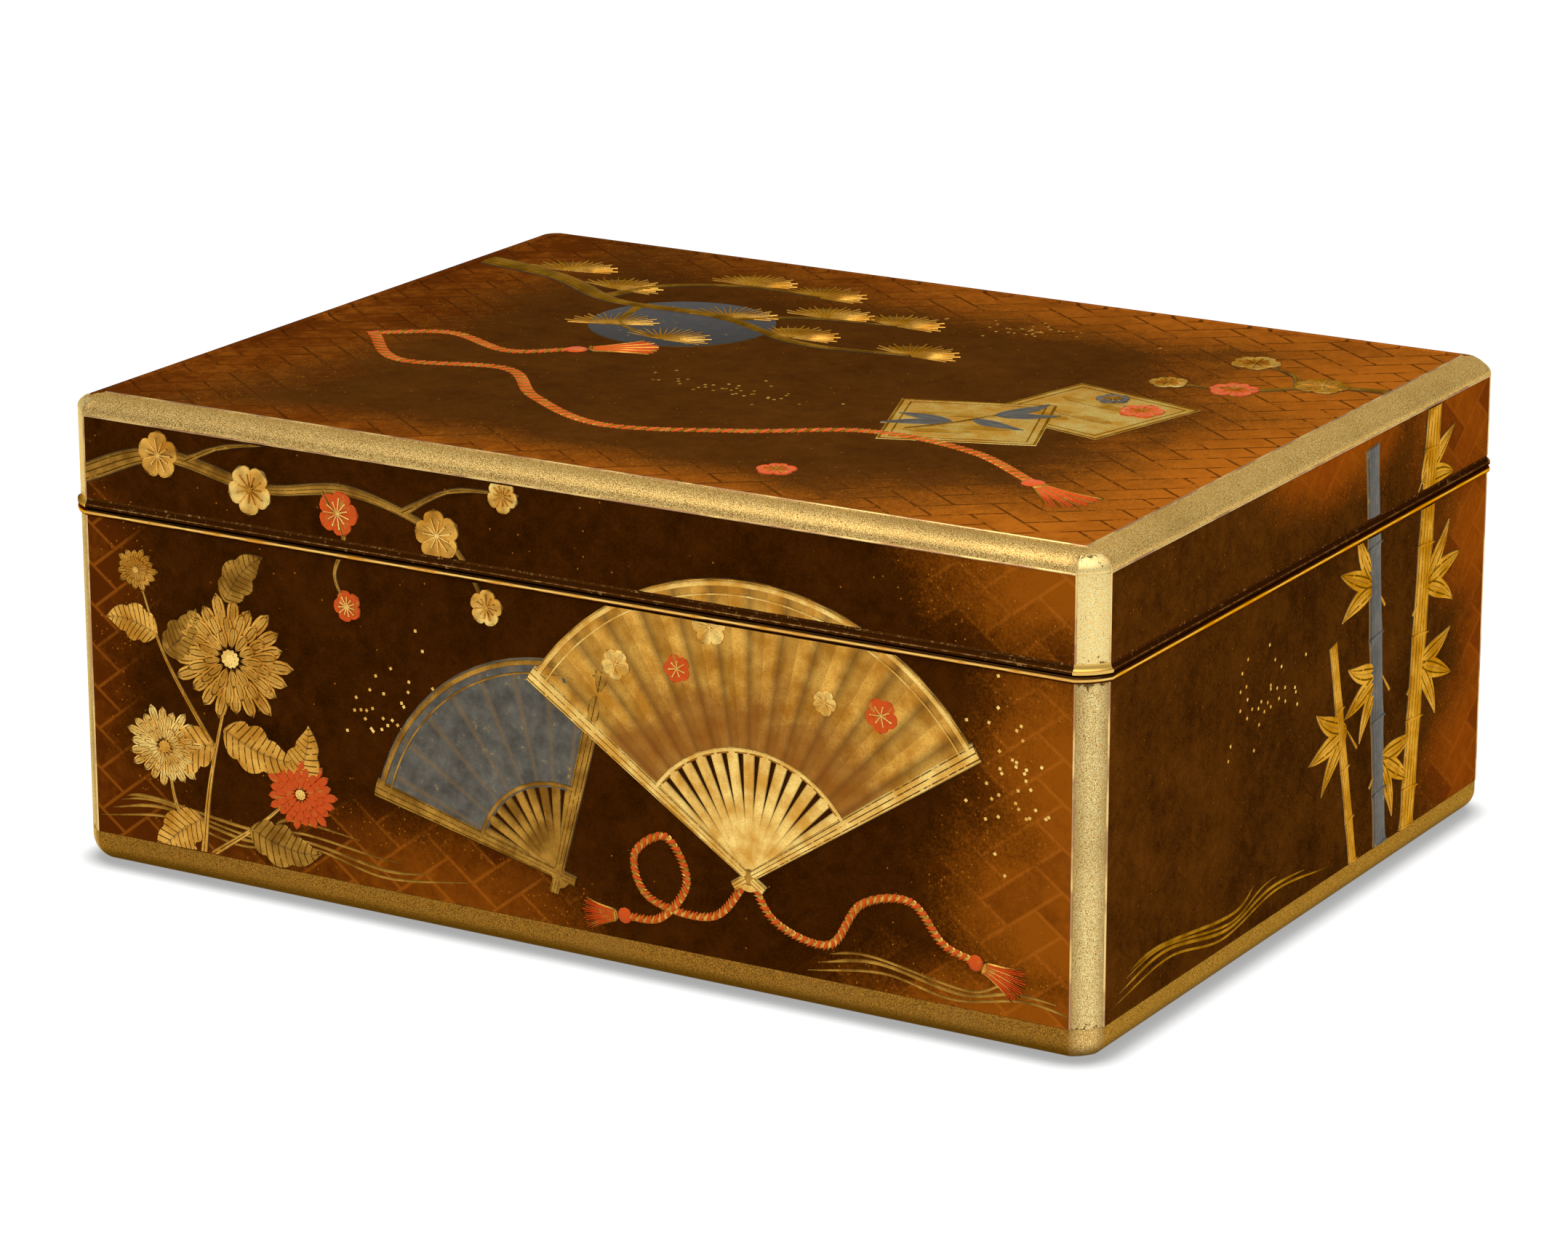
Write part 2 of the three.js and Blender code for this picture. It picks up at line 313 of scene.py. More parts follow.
@dataclass(frozen=True)
class FlaredRim(Finish):
    """Dark lacquer on the lid's flared rim, rubbed to pale metal in streaks and gilded round the corners."""

    half_length: float
    half_depth: float
    corner: float
    rubbed: float = 0.0
    streak: float = 3.0

    def paint(self, add: Adder, place: Socket) -> dict:
        """Gilds the corners by place, and streaks the long runs."""
        axes = add("SeparateXYZ", {0: place})
        ends = []
        for axis, half in (("X", self.half_length), ("Y", self.half_depth)):
            size = add("Math", {0: axes.outputs[axis]}, operation="ABSOLUTE")
            edge = (half - self.corner) * MM
            ends.append(add("Math", {0: size, 1: edge}, operation="GREATER_THAN"))
        corner = add("Math", {0: ends[0], 1: ends[1]}, operation="MULTIPLY")
        scale = 1 / (self.streak * MM)
        rub = add("TexNoise", {"Vector": place, "Scale": scale, "Detail": 7.0, "Roughness": 0.7})
        streak = add("MapRange", {0: rub, 1: 0.6 - 0.14 * self.rubbed, 2: 0.72 - 0.12 * self.rubbed, 4: 0.9})
        brown = add("Mix", {0: self.rubbed, 6: linear("3A1C04"), 7: linear("62380F")}, data_type="RGBA")
        lacquer = add("Mix", {0: streak, 6: brown, 7: linear("B88A4E")}, data_type="RGBA")
        whole = add("Mix", {0: corner, 6: lacquer, 7: linear("E2B75E")}, data_type="RGBA")
        worn = add("Math", {0: streak, 1: corner}, operation="MAXIMUM")
        metal = add("MapRange", {0: worn, 3: 0.2, 4: 1.0})
        return {
            "Base Color": whole,
            "Metallic": metal,
            "Roughness": 0.34,
            "Specular Tint": linear("7A4A20"),
            "Specular IOR Level": 0.0,
        }


def sprinkled(add: Adder, place: Socket) -> tuple[Node, Node]:
    """Draws gold flakes scattered in amber lacquer.

    Args:
        add: Adds a node to the finish's tree.
        place: The object coordinates, in metres.

    Returns:
        The colour node and the node that tells where a flake lies.
    """
    # Flakes are 0.3 to 0.8 mm; the cells that hold them are 1.1 mm.
    cells = add("TexVoronoi", {"Vector": place, "Scale": 1 / (1.1 * MM)})
    pick = add("SeparateColor", {0: cells.outputs["Color"]})
    chosen = add("Math", {0: pick.outputs[0], 1: 0.35}, operation="GREATER_THAN")
    near = add("Math", {0: cells.outputs["Distance"], 1: 0.42}, operation="LESS_THAN")
    flake = add("Math", {0: chosen, 1: near}, operation="MULTIPLY")
    tone = add("Mix", {0: pick.outputs[1], 6: linear("9A6A28"), 7: linear("DDB25C")}, data_type="RGBA")
    cloud = add("TexNoise", {"Vector": place, "Scale": 1 / (30 * MM), "Detail": 3.0})
    amber = add("Mix", {0: cloud, 6: linear("4A2208"), 7: linear("7A4212")}, data_type="RGBA")
    return add("Mix", {0: flake, 6: amber, 7: tone}, data_type="RGBA"), flake


@dataclass(frozen=True)
class SprinkledLacquer(Finish):
    """Amber lacquer over scattered gold flakes, as on the inside: warm, deep and glittering."""

    def paint(self, add: Adder, place: Socket) -> dict:
        """Sets the flakes a little metallic under a smooth gloss."""
        colour, flake = sprinkled(add, place)
        metal = add("Math", {0: flake, 1: 0.6}, operation="MULTIPLY")
        return {
            "Base Color": colour,
            "Metallic": metal,
            "Roughness": 0.3,
            "Specular IOR Level": 0.3,
        }


@dataclass(frozen=True)
class Patch:
    """One cloud of sprinkled ground: its centre and half widths on the face."""

    across: float
    up: float
    half_width: float
    half_height: float


@dataclass(frozen=True)
class HerringboneGround(Finish):
    """Polished brown lacquer with clouds of orange-gold dust, in which a herringbone pattern shows."""

    plane: Plane
    skin: float
    patches: tuple[Patch, ...]
    bare_low: str = "2C1300"
    bare_high: str = "4A2404"
    cloud_low: str = "74380A"
    cloud_high: str = "9E520E"
    line: str = "BC681A"
    lined: float = 0.4
    ghost: str = "BC681A"
    ghosted: float = 0.018
    broken: float = 0.0
    uneven: float = 0.2
    # How fast per metre the clouds lighten to the right: thicker dust and painted light together.
    dust_and_light_lean: float = 0.0
    # One unit along the slant runs and rises so far; a block is one unit wide and two long.
    run: float = 9.7
    rise: float = 7.35
    # The left corner of one of the blocks.
    start: tuple[float, float] = (159.5, 93.8)

    def paint(self, add: Adder, place: Socket) -> dict:
        """Lays reserve, clouds, blocks, lines and specks, and keeps the hidden side sprinkled."""
        axes = add("SeparateXYZ", {0: place})
        across, up, depth = (axes.outputs[axis] for axis in self.plane.value)
        line, tone = self.blocks(add, across, up)
        mask = self.clouds(add, place, across, up)
        broad = add("TexNoise", {"Vector": place, "Scale": 1 / (26 * MM), "Detail": 5.0, "Roughness": 0.6})
        mottle = add("TexNoise", {"Vector": place, "Scale": 1 / (5 * MM), "Detail": 6.0, "Roughness": 0.7})
        # Single grains under the polish are about 0.2 mm; they are drawn at 0.6 mm so that they show.
        fine = add("TexNoise", {"Vector": place, "Scale": 1 / (0.6 * MM), "Detail": 1.0})
        hazy = add("Math", {0: fine, 1: 0.7, 2: mottle}, operation="MULTIPLY_ADD")
        hazes = add("Math", {0: hazy, 1: broad}, operation="ADD")
        haze = add("MapRange", {0: hazes, 1: 1.05, 2: 1.65})
        bare = add("Mix", {0: haze, 6: linear(self.bare_low), 7: linear(self.bare_high)}, data_type="RGBA")
        kept = add("MapRange", {0: mottle, 1: 0.46, 2: 0.64, 4: self.ghosted})
        faint = add("Math", {0: line, 1: kept}, operation="MULTIPLY")
        reserve = add("Mix", {0: faint, 6: bare, 7: linear(self.ghost)}, data_type="RGBA")
        # Dust settles in mottles some 5 mm across, and one block in seven caught less; the clouds also
        # lighten to the right, as thicker dust and as painted light from that side.
        caught = add("MapRange", {0: tone, 1: 0.1, 2: 0.2, 3: -self.uneven, 4: 0.0})
        thick_and_lit = add("Math", {0: across, 1: self.dust_and_light_lean, 2: caught}, operation="MULTIPLY_ADD")
        shade = add("Math", {0: mottle, 1: broad, 2: thick_and_lit}, operation="MULTIPLY_ADD")
        level = add("MapRange", {0: shade, 1: 0.04, 2: 0.42})
        low, high = linear(self.cloud_low), linear(self.cloud_high)
        dust = add("Mix", {0: level, 6: low, 7: high}, data_type="RGBA")
        bounds = {1: 0.54 * self.broken, 2: 0.6 * self.broken + 0.01}
        dash = add("MapRange", {0: mottle, **bounds, 4: self.lined})
        drawn = add("Math", {0: line, 1: dash}, operation="MULTIPLY")
        lined = add("Mix", {0: drawn, 6: dust, 7: linear(self.line)}, data_type="RGBA")
        ground = add("Mix", {0: mask, 6: reserve, 7: lined}, data_type="RGBA")
        speck = self.specks(add, place, mask)
        dusted = add("Mix", {0: speck, 6: ground, 7: linear("B8701E")}, data_type="RGBA")
        inner, _ = sprinkled(add, place)
        away = add("Math", {0: depth}, operation="ABSOLUTE")
        outer = add("Math", {0: away, 1: self.skin * MM}, operation="GREATER_THAN")
        whole = add("Mix", {0: outer, 6: inner, 7: dusted}, data_type="RGBA")
        gloss = add("MapRange", {0: broad, 1: 0.3, 2: 0.7, 3: 0.24, 4: 0.36})
        # The fine gold under the polish makes the lacquer reflect in its own brown, and hardly in white.
        return {
            "Base Color": whole,
            "Roughness": gloss,
            "Metallic": 0.2,
            "Specular Tint": linear("3A1C08"),
            "Specular IOR Level": 0.0,
        }

    def blocks(self, add: Adder, across: Socket, up: Socket) -> tuple[Node, Node]:
        """Draws the slanted blocks of the herringbone.

        Args:
            add: Adds a node to the finish's tree.
            across: The coordinate across the face, in metres.
            up: The coordinate up the face, in metres.

        Returns:
            The node of the joint lines, and the node of each block's own tone.
        """
        from_left = add("Math", {0: across, 1: self.start[0] * MM}, operation="SUBTRACT")
        from_low = add("Math", {0: up, 1: self.start[1] * MM}, operation="SUBTRACT")
        flat = add("Math", {0: from_left, 1: 0.5 / (self.run * MM)}, operation="MULTIPLY")
        steep = add("Math", {0: from_low, 1: 0.5 / (self.rise * MM)}, operation="MULTIPLY")
        p = add("Math", {0: flat, 1: steep}, operation="ADD")
        q = add("Math", {0: flat, 1: steep}, operation="SUBTRACT")
        i, j = (add("Math", {0: value}, operation="FLOOR") for value in (p, q))
        fp, fq = (add("Math", {0: value}, operation="FRACT") for value in (p, q))
        count = add("Math", {0: i, 1: j}, operation="ADD")
        step = add("Math", {0: count, 1: 4.0}, operation="FLOORED_MODULO")
        rising = add("Math", {0: step, 1: 1.5}, operation="LESS_THAN")
        back = add("Math", {0: step, 1: 2.0}, operation="SUBTRACT")
        rising_long = add("Math", {0: step, 1: fp}, operation="ADD")
        falling_long = add("Math", {0: back, 1: fq}, operation="ADD")
        along = add("Mix", {0: rising, 2: falling_long, 3: rising_long})
        side = add("Mix", {0: rising, 2: fp, 3: fq})
        # The nearest edge: both ends of a block are two units apart, and both sides one unit.
        past_along = add("Math", {0: 2.0, 1: along}, operation="SUBTRACT")
        past_side = add("Math", {0: 1.0, 1: side}, operation="SUBTRACT")
        nearest = along
        for end in (past_along, side, past_side):
            nearest = add("Math", {0: nearest, 1: end}, operation="MINIMUM")
        # A joint line is about 1.1 mm wide, where a block is 12 mm wide.
        line = add("MapRange", {0: nearest, 1: 0.07, 2: 0.025}, interpolation_type="SMOOTHSTEP")
        steps_back = add("Math", {0: rising, 1: step}, operation="MULTIPLY")
        first_i = add("Math", {0: i, 1: steps_back}, operation="SUBTRACT")
        falling = add("Math", {0: 1.0, 1: rising}, operation="SUBTRACT")
        steps_back = add("Math", {0: falling, 1: back}, operation="MULTIPLY")
        first_j = add("Math", {0: j, 1: steps_back}, operation="SUBTRACT")
        key = add("CombineXYZ", {0: first_i, 1: first_j, 2: rising})
        tone = add("TexWhiteNoise", {"Vector": key}, noise_dimensions="3D")
        return line, tone

    def clouds(self, add: Adder, place: Socket, across: Socket, up: Socket) -> Node:
        """Joins the patches of dust, with drifting outlines and a grainy border.

        Args:
            add: Adds a node to the finish's tree.
            place: The object coordinates, in metres.
            across: The coordinate across the face.
            up: The coordinate up the face.

        Returns:
            The node that is 1 in a cloud and 0 on the dark reserve.
        """
        flat = add("CombineXYZ", {0: across, 1: up})
        field = None
        for patch in self.patches:
            centre = (patch.across * MM, patch.up * MM, 0)
            size = (1 / (patch.half_width * MM), 1 / (patch.half_height * MM), 1)
            moved = add("VectorMath", {0: flat, 1: centre}, operation="SUBTRACT")
            scaled = add("VectorMath", {0: moved, 1: size}, operation="MULTIPLY")
            reach = add("VectorMath", {0: scaled}, operation="LENGTH").outputs["Value"]
            field = reach if field is None else add("Math", {0: field, 1: reach}, operation="MINIMUM")
        drift = add("TexNoise", {"Vector": place, "Scale": 1 / (26 * MM), "Detail": 8.0, "Roughness": 0.6})
        grit = add("TexNoise", {"Vector": place, "Scale": 1 / (0.8 * MM), "Detail": 1.0})
        wandering = add("Math", {0: drift, 1: 1.1, 2: field}, operation="MULTIPLY_ADD")
        grainy = add("Math", {0: grit, 1: 0.55, 2: wandering}, operation="MULTIPLY_ADD")
        return add("MapRange", {0: grainy, 1: 2.15, 2: 1.3}, interpolation_type="SMOOTHSTEP")

    def specks(self, add: Adder, place: Socket, mask: Node) -> Node:
        """Scatters single grains of dust, thickest along the clouds' borders.

        Args:
            add: Adds a node to the finish's tree.
            place: The object coordinates, in metres.
            mask: The node that tells where the clouds lie.

        Returns:
            The node that is 1 on a grain.
        """
        cells = add("TexVoronoi", {"Vector": place, "Scale": 1 / (1.1 * MM)})
        pick = add("SeparateColor", {0: cells.outputs["Color"]})
        clear = add("Math", {0: 1.0, 1: mask}, operation="SUBTRACT")
        border = add("Math", {0: mask, 1: clear}, operation="MULTIPLY")
        rarity = add("MapRange", {0: border, 1: 0.0, 2: 0.25, 3: 0.993, 4: 0.88})
        chosen = add("Math", {0: pick.outputs[0], 1: rarity}, operation="GREATER_THAN")
        near = add("MapRange", {0: cells.outputs["Distance"], 1: 0.34, 2: 0.2, 4: 0.8})
        return add("Math", {0: chosen, 1: near}, operation="MULTIPLY")


def cut_lines(add: Adder, wide: float, narrow: float, depth: float = 1.0) -> Node:
    """Finds the cut lines of raised work: one at each half step of V.

    Args:
        add: Adds a node to the finish's tree.
        wide: How far from its middle a line ends, in steps of V.
        narrow: How far from its middle a line is full.
        depth: How full that is.

    Returns:
        The node of the lines.
    """
    axes = add("SeparateXYZ", {0: add("UVMap").outputs["UV"]})
    step = add("Math", {0: axes.outputs["Y"]}, operation="FRACT")
    away = add("Math", {0: step, 1: 0.5}, operation="SUBTRACT")
    near = add("Math", {0: away}, operation="ABSOLUTE")
    return add("MapRange", {0: near, 1: wide, 2: narrow, 4: depth}, interpolation_type="SMOOTHSTEP")


def down_side(add: Adder, full: float, gone: float) -> Node:
    """Finds how far down its own side a piece is, between two shares of its rise."""
    rise = add("Attribute", attribute_name="rise").outputs["Fac"]
    return add("MapRange", {0: rise, 1: full, 2: gone})


@dataclass(frozen=True)
class RaisedGold(Finish):
    """Gold laid over built-up lacquer: satin metal with cut lines, darkened down its sides by tarnish and
    painted shade.
    """

    low: str = "BA7E28"
    high: str = "E8B04E"
    dust: str = "945C18"
    tarnish_and_shade: str = "35281A"
    cut: str = "583A10"

    def paint(self, add: Adder, place: Socket) -> dict:
        """Cuts lines by the piece's own UV, and darkens the sides by its rise, as tarnish and painted shade.
        """
        gaps = add("TexNoise", {"Vector": place, "Scale": 1 / (2.2 * MM), "Detail": 2.0})
        kept = add("MapRange", {0: gaps, 1: 0.32, 2: 0.46})
        lines = add("Math", {0: cut_lines(add, 0.13, 0.03), 1: kept}, operation="MULTIPLY")
        broad = add("TexNoise", {"Vector": place, "Scale": 1 / (9 * MM), "Detail": 4.0})
        share = add("MapRange", {0: broad, 1: 0.38, 2: 0.64})
        gold = add("Mix", {0: share, 6: linear(self.low), 7: linear(self.high)}, data_type="RGBA")
        # The powder's grains are about 0.2 mm; they are drawn at 0.5 mm so that they show.
        grain = add("TexNoise", {"Vector": place, "Scale": 1 / (0.5 * MM), "Detail": 1.0})
        thin = add("MapRange", {0: grain, 1: 0.5, 2: 0.34, 3: 0.0, 4: 0.42})
        dusty = add("Mix", {0: thin, 6: gold, 7: linear(self.dust)}, data_type="RGBA")
        engraved = add("Mix", {0: lines, 6: dusty, 7: linear(self.cut)}, data_type="RGBA")
        # Tarnish and painted shade: the gold darkens where its rise share is low, down the sides, along pleat
        # valleys and in the cups of petals.
        side = down_side(add, 0.7, 0.2)
        whole = add("Mix", {0: side, 6: engraved, 7: linear(self.tarnish_and_shade)}, data_type="RGBA")
        metal = add("MapRange", {0: side, 3: 1.0, 4: 0.35})
        rough = add("MapRange", {0: grain, 1: 0.3, 2: 0.7, 3: 0.3, 4: 0.46})
        height = add("Math", {0: 1.0, 1: lines}, operation="SUBTRACT")
        groove = add("Bump", {"Height": height, "Strength": 0.8, "Distance": 0.25 * MM})
        grit = {"Height": grain, "Strength": 0.25, "Distance": 0.05 * MM}
        sandy = add("Bump", {**grit, "Normal": groove})
        # Gold stays yellow at a glancing look.
        return {
            "Base Color": whole,
            "Metallic": metal,
            "Roughness": rough,
            "Normal": sandy,
            "Specular Tint": linear("F6D494"),
            "Specular IOR Level": 0.1,
        }


@dataclass(frozen=True)
class PleatedPaper(RaisedGold):
    """The fan's gilt leaf: pleats painted light and dark in turn as painted shade on their facets, with dust
    drifting in from the root.
    """

    mist: str = "7E4416"

    def paint(self, add: Adder, place: Socket) -> dict:
        """Paints shade on every other pleat by U, and lays the mist and border lines by V."""
        coat = super().paint(add, place)
        axes = add("SeparateXYZ", {0: add("UVMap").outputs["UV"]})
        # Painted shade: every other pleat is darkened, for the facets that turn away from the light.
        pair = add("Math", {0: axes.outputs["X"], 1: 2.0}, operation="FLOORED_MODULO")
        in_painted_shade = add("Math", {0: pair, 1: 1.0}, operation="GREATER_THAN")
        shade = add("MapRange", {0: in_painted_shade, 3: 0.0, 4: 0.3})
        pleated = add("Mix", {0: shade, 6: coat["Base Color"], 7: linear("6E4A18")}, data_type="RGBA")
        drift = add("TexNoise", {"Vector": place, "Scale": 1 / (16 * MM), "Detail": 7.0, "Roughness": 0.7})
        reach = add("Attribute", attribute_name="reach").outputs["Fac"]
        edge = add("Math", {0: drift, 1: 0.9, 2: reach}, operation="MULTIPLY_ADD")
        mist = add("MapRange", {0: edge, 1: 0.98, 2: 0.7, 3: 0.0, 4: 0.7})
        misty = add("Mix", {0: mist, 6: pleated, 7: linear(self.mist)}, data_type="RGBA")
        return {**coat, "Base Color": misty}


@dataclass(frozen=True)
class Pewter(Finish):
    """Pewter powder and sheet, gone blue-grey, with gold rubbed through along its edges."""

    dark: str = "464035"
    light: str = "6C6659"

    def paint(self, add: Adder, place: Socket) -> dict:
        """Clouds two greys, draws cut lines and rubs gold through in short streaks."""
        cloud = add("TexNoise", {"Vector": place, "Scale": 1 / (7 * MM), "Detail": 7.0, "Roughness": 0.7})
        share = add("MapRange", {0: cloud, 1: 0.36, 2: 0.66})
        grey = add("Mix", {0: share, 6: linear(self.dark), 7: linear(self.light)}, data_type="RGBA")
        cut = add("Mix", {0: cut_lines(add, 0.16, 0.05, 0.7), 6: grey, 7: linear("221E18")}, data_type="RGBA")
        rub = add("TexNoise", {"Vector": place, "Scale": 1 / (3.5 * MM), "Detail": 8.0, "Roughness": 0.75})
        through = add("MapRange", {0: rub, 1: 0.62, 2: 0.68})
        rubbed = add("Mix", {0: through, 6: cut, 7: linear("B98F3E")}, data_type="RGBA")
        side = down_side(add, 0.6, 0.25)
        whole = add("Mix", {0: side, 6: rubbed, 7: linear("8A6830")}, data_type="RGBA")
        bump = add("Bump", {"Height": cloud, "Strength": 0.3, "Distance": 0.2 * MM})
        return {
            "Base Color": whole,
            "Metallic": 0.55,
            "Roughness": 0.46,
            "Normal": bump,
        }


@dataclass(frozen=True)
class Vermilion(Finish):
    """Vermilion lacquer over raised gold, worn thin so that the gold comes through."""

    def paint(self, add: Adder, place: Socket) -> dict:
        """Wears vermilion to gold in spots, and darkens it down the sides as painted shade."""
        wear = add("TexNoise", {"Vector": place, "Scale": 1 / (4 * MM), "Detail": 6.0, "Roughness": 0.7})
        share = add("MapRange", {0: wear, 1: 0.56, 2: 0.66})
        worn = add("Mix", {0: share, 6: linear("DC5618"), 7: linear("C88E36")}, data_type="RGBA")
        # Painted shade: the lacquer darkens to brown down the sides and in the cups, by the rise share.
        side = down_side(add, 0.6, 0.25)
        whole = add("Mix", {0: side, 6: worn, 7: linear("7A4A1C")}, data_type="RGBA")
        return {
            "Base Color": whole,
            "Roughness": 0.4,
            "Specular IOR Level": 0.08,
        }


RIDGE_LINE = RidgeLine("ridge_line")
SPRINKLED = SprinkledLacquer("sprinkled_lacquer")
RAISED_GOLD = RaisedGold("raised_gold")
PALE_GOLD = RaisedGold("pale_raised_gold", low="D69C3E", high="FFDA7C", dust="B07A2C")
GILT_SHEET = RaisedGold("gilt_sheet", low="F4BC5C", high="FFE894", dust="CC9640")
BROWN_GOLD = RaisedGold("brown_raised_gold", low="80561C", high="BE8C38", dust="64400F")
FAN_PAPER = PleatedPaper("pleated_gilt_paper")
PEWTER = Pewter("pewter")
DARK_PEWTER = Pewter("tarnished_pewter", dark="1B150D", light="30271A")
VERMILION = Vermilion("vermilion_lacquer")


@dataclass(frozen=True)
class Plan:
    """The box's outline from above: a rectangle whose corners are cut by a swelling chamfer."""

    half_length: float
    half_depth: float
    corner_cut: float = 8.5
    sagitta: float = 1.1
    signs: tuple[tuple[int, int], ...] = ((1, -1), (1, 1), (-1, 1), (-1, -1))
    sides: tuple[str, ...] = ("front", "right", "back", "left")
    corners: tuple[str, ...] = ("front_right", "back_right", "back_left", "front_left")

    def cut_at(self, inset: float) -> float:
        """Returns the corner's cut on a line that runs parallel to the outside."""
        return max(self.corner_cut - inset * (2 - math.sqrt(2)), 0.5)

    def point(self, corner: int, t: float, inset: float, cut: float | None = None) -> Vector:
        """Finds a point round one corner.

        Args:
            corner: The corner's number, anticlockwise from the front right one.
            t: How far round the corner, from 0 to 1.
            inset: The distance in from the outside.
            cut: The corner's cut there, or None for a parallel line.

        Returns:
            The point in plan.
        """
        cut = self.cut_at(inset) if cut is None else cut
        x, y = self.signs[corner]
        sharp = Vector((x * (self.half_length - inset), y * (self.half_depth - inset)))
        arriving = Vector(((1, 0), (0, 1), (-1, 0), (0, -1))[corner])
        leaving = Vector((-arriving.y, arriving.x))
        start, end = sharp - arriving * cut, sharp + leaving * cut
        half_chord = cut / math.sqrt(2)
        sagitta = cut * self.sagitta / self.corner_cut
        radius = (half_chord**2 + sagitta**2) / (2 * sagitta)
        half_angle = math.asin(half_chord / radius)
        angle = (2 * t - 1) * half_angle
        along = (end - start).normalized()
        outward = Vector((along.y, -along.x))
        rise = radius * (math.cos(angle) - math.cos(half_angle))
        return (start + end) / 2 + along * radius * math.sin(angle) + outward * rise

    def side_stations(self, side: int, stops: Sequence[float]) -> list[tuple[int, float]]:
        """Lists stations from the middle of one corner to the middle of the next.

        Args:
            side: The side's number.
            stops: Shares of the way round a corner, from its start at 0 to its middle at 0.5.

        Returns:
            Each station's corner and share of the way round it.
        """
        before = [((side + 3) % 4, 1 - stop) for stop in reversed(stops)]
        return before + [(side, stop) for stop in stops]


@dataclass(frozen=True)
class ProfilePoint:
    """One point of a strip's section, and the finish of the face that follows it."""

    inset: float
    height: float
    cut: float | None = None
    finish: int = 0


def finished(
    name: str, shape: bmesh.types.BMesh, finishes: Sequence[Finish], body: str
) -> bpy.types.Object:
    """Turns a shape in millimetres into a piece of the scene.

    Args:
        name: The piece's name.
        shape: The mesh, which is used up.
        finishes: One finish for each material number of the faces.
        body: The CAD body that carries the piece.

    Returns:
        The new object.
    """
    bmesh.ops.scale(shape, vec=(MM, MM, MM), verts=shape.verts)
    bmesh.ops.recalc_face_normals(shape, faces=shape.faces)
    mesh = bpy.data.meshes.new(name)
    shape.to_mesh(mesh)
    shape.free()
    for finish in finishes:
        mesh.materials.append(finish.material())
    mesh.set_sharp_from_angle(angle=math.radians(SHARP_FROM))
    made = shown(name, mesh)
    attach(made, body)
    log.info("%s: %d faces on %s", name, len(mesh.polygons), body)
    return made


def close_up(shape: bmesh.types.BMesh) -> None:
    """Fills a shape's open edges with faces."""
    bmesh.ops.holes_fill(shape, edges=[edge for edge in shape.edges if edge.is_boundary], sides=0)


def cut_off(shape: bmesh.types.BMesh, point: Sequence[float], out: Sequence[float]) -> None:
    """Cuts away what lies beyond the plane through a point."""
    every = [*shape.verts, *shape.edges, *shape.faces]
    bmesh.ops.bisect_plane(shape, geom=every, plane_co=point, plane_no=out, clear_outer=True)


def loft(rows: Sequence[Sequence[Vector]], finishes: Sequence[Sequence[int]]) -> bmesh.types.BMesh:
    """Skins rows of points that each run round a closed section, and caps both ends.

    Args:
        rows: The sections in turn, with equally many points each.
        finishes: For each row, the material number of the face that follows each point.

    Returns:
        The closed mesh.
    """
    around = len(rows[0])
    shape = bmesh.new()
    bmesh.ops.create_grid(shape, x_segments=around, y_segments=len(rows) - 1, size=1)
    shape.verts.ensure_lookup_table()
    for number, vert in enumerate(shape.verts):
        row, column = divmod(number, around + 1)
        vert.co = rows[row][column % around]
    for number, face in enumerate(shape.faces):
        face.material_index = finishes[number // around][number % around]
        face.smooth = True
    bmesh.ops.remove_doubles(shape, verts=shape.verts, dist=1e-5)
    close_up(shape)
    return shape


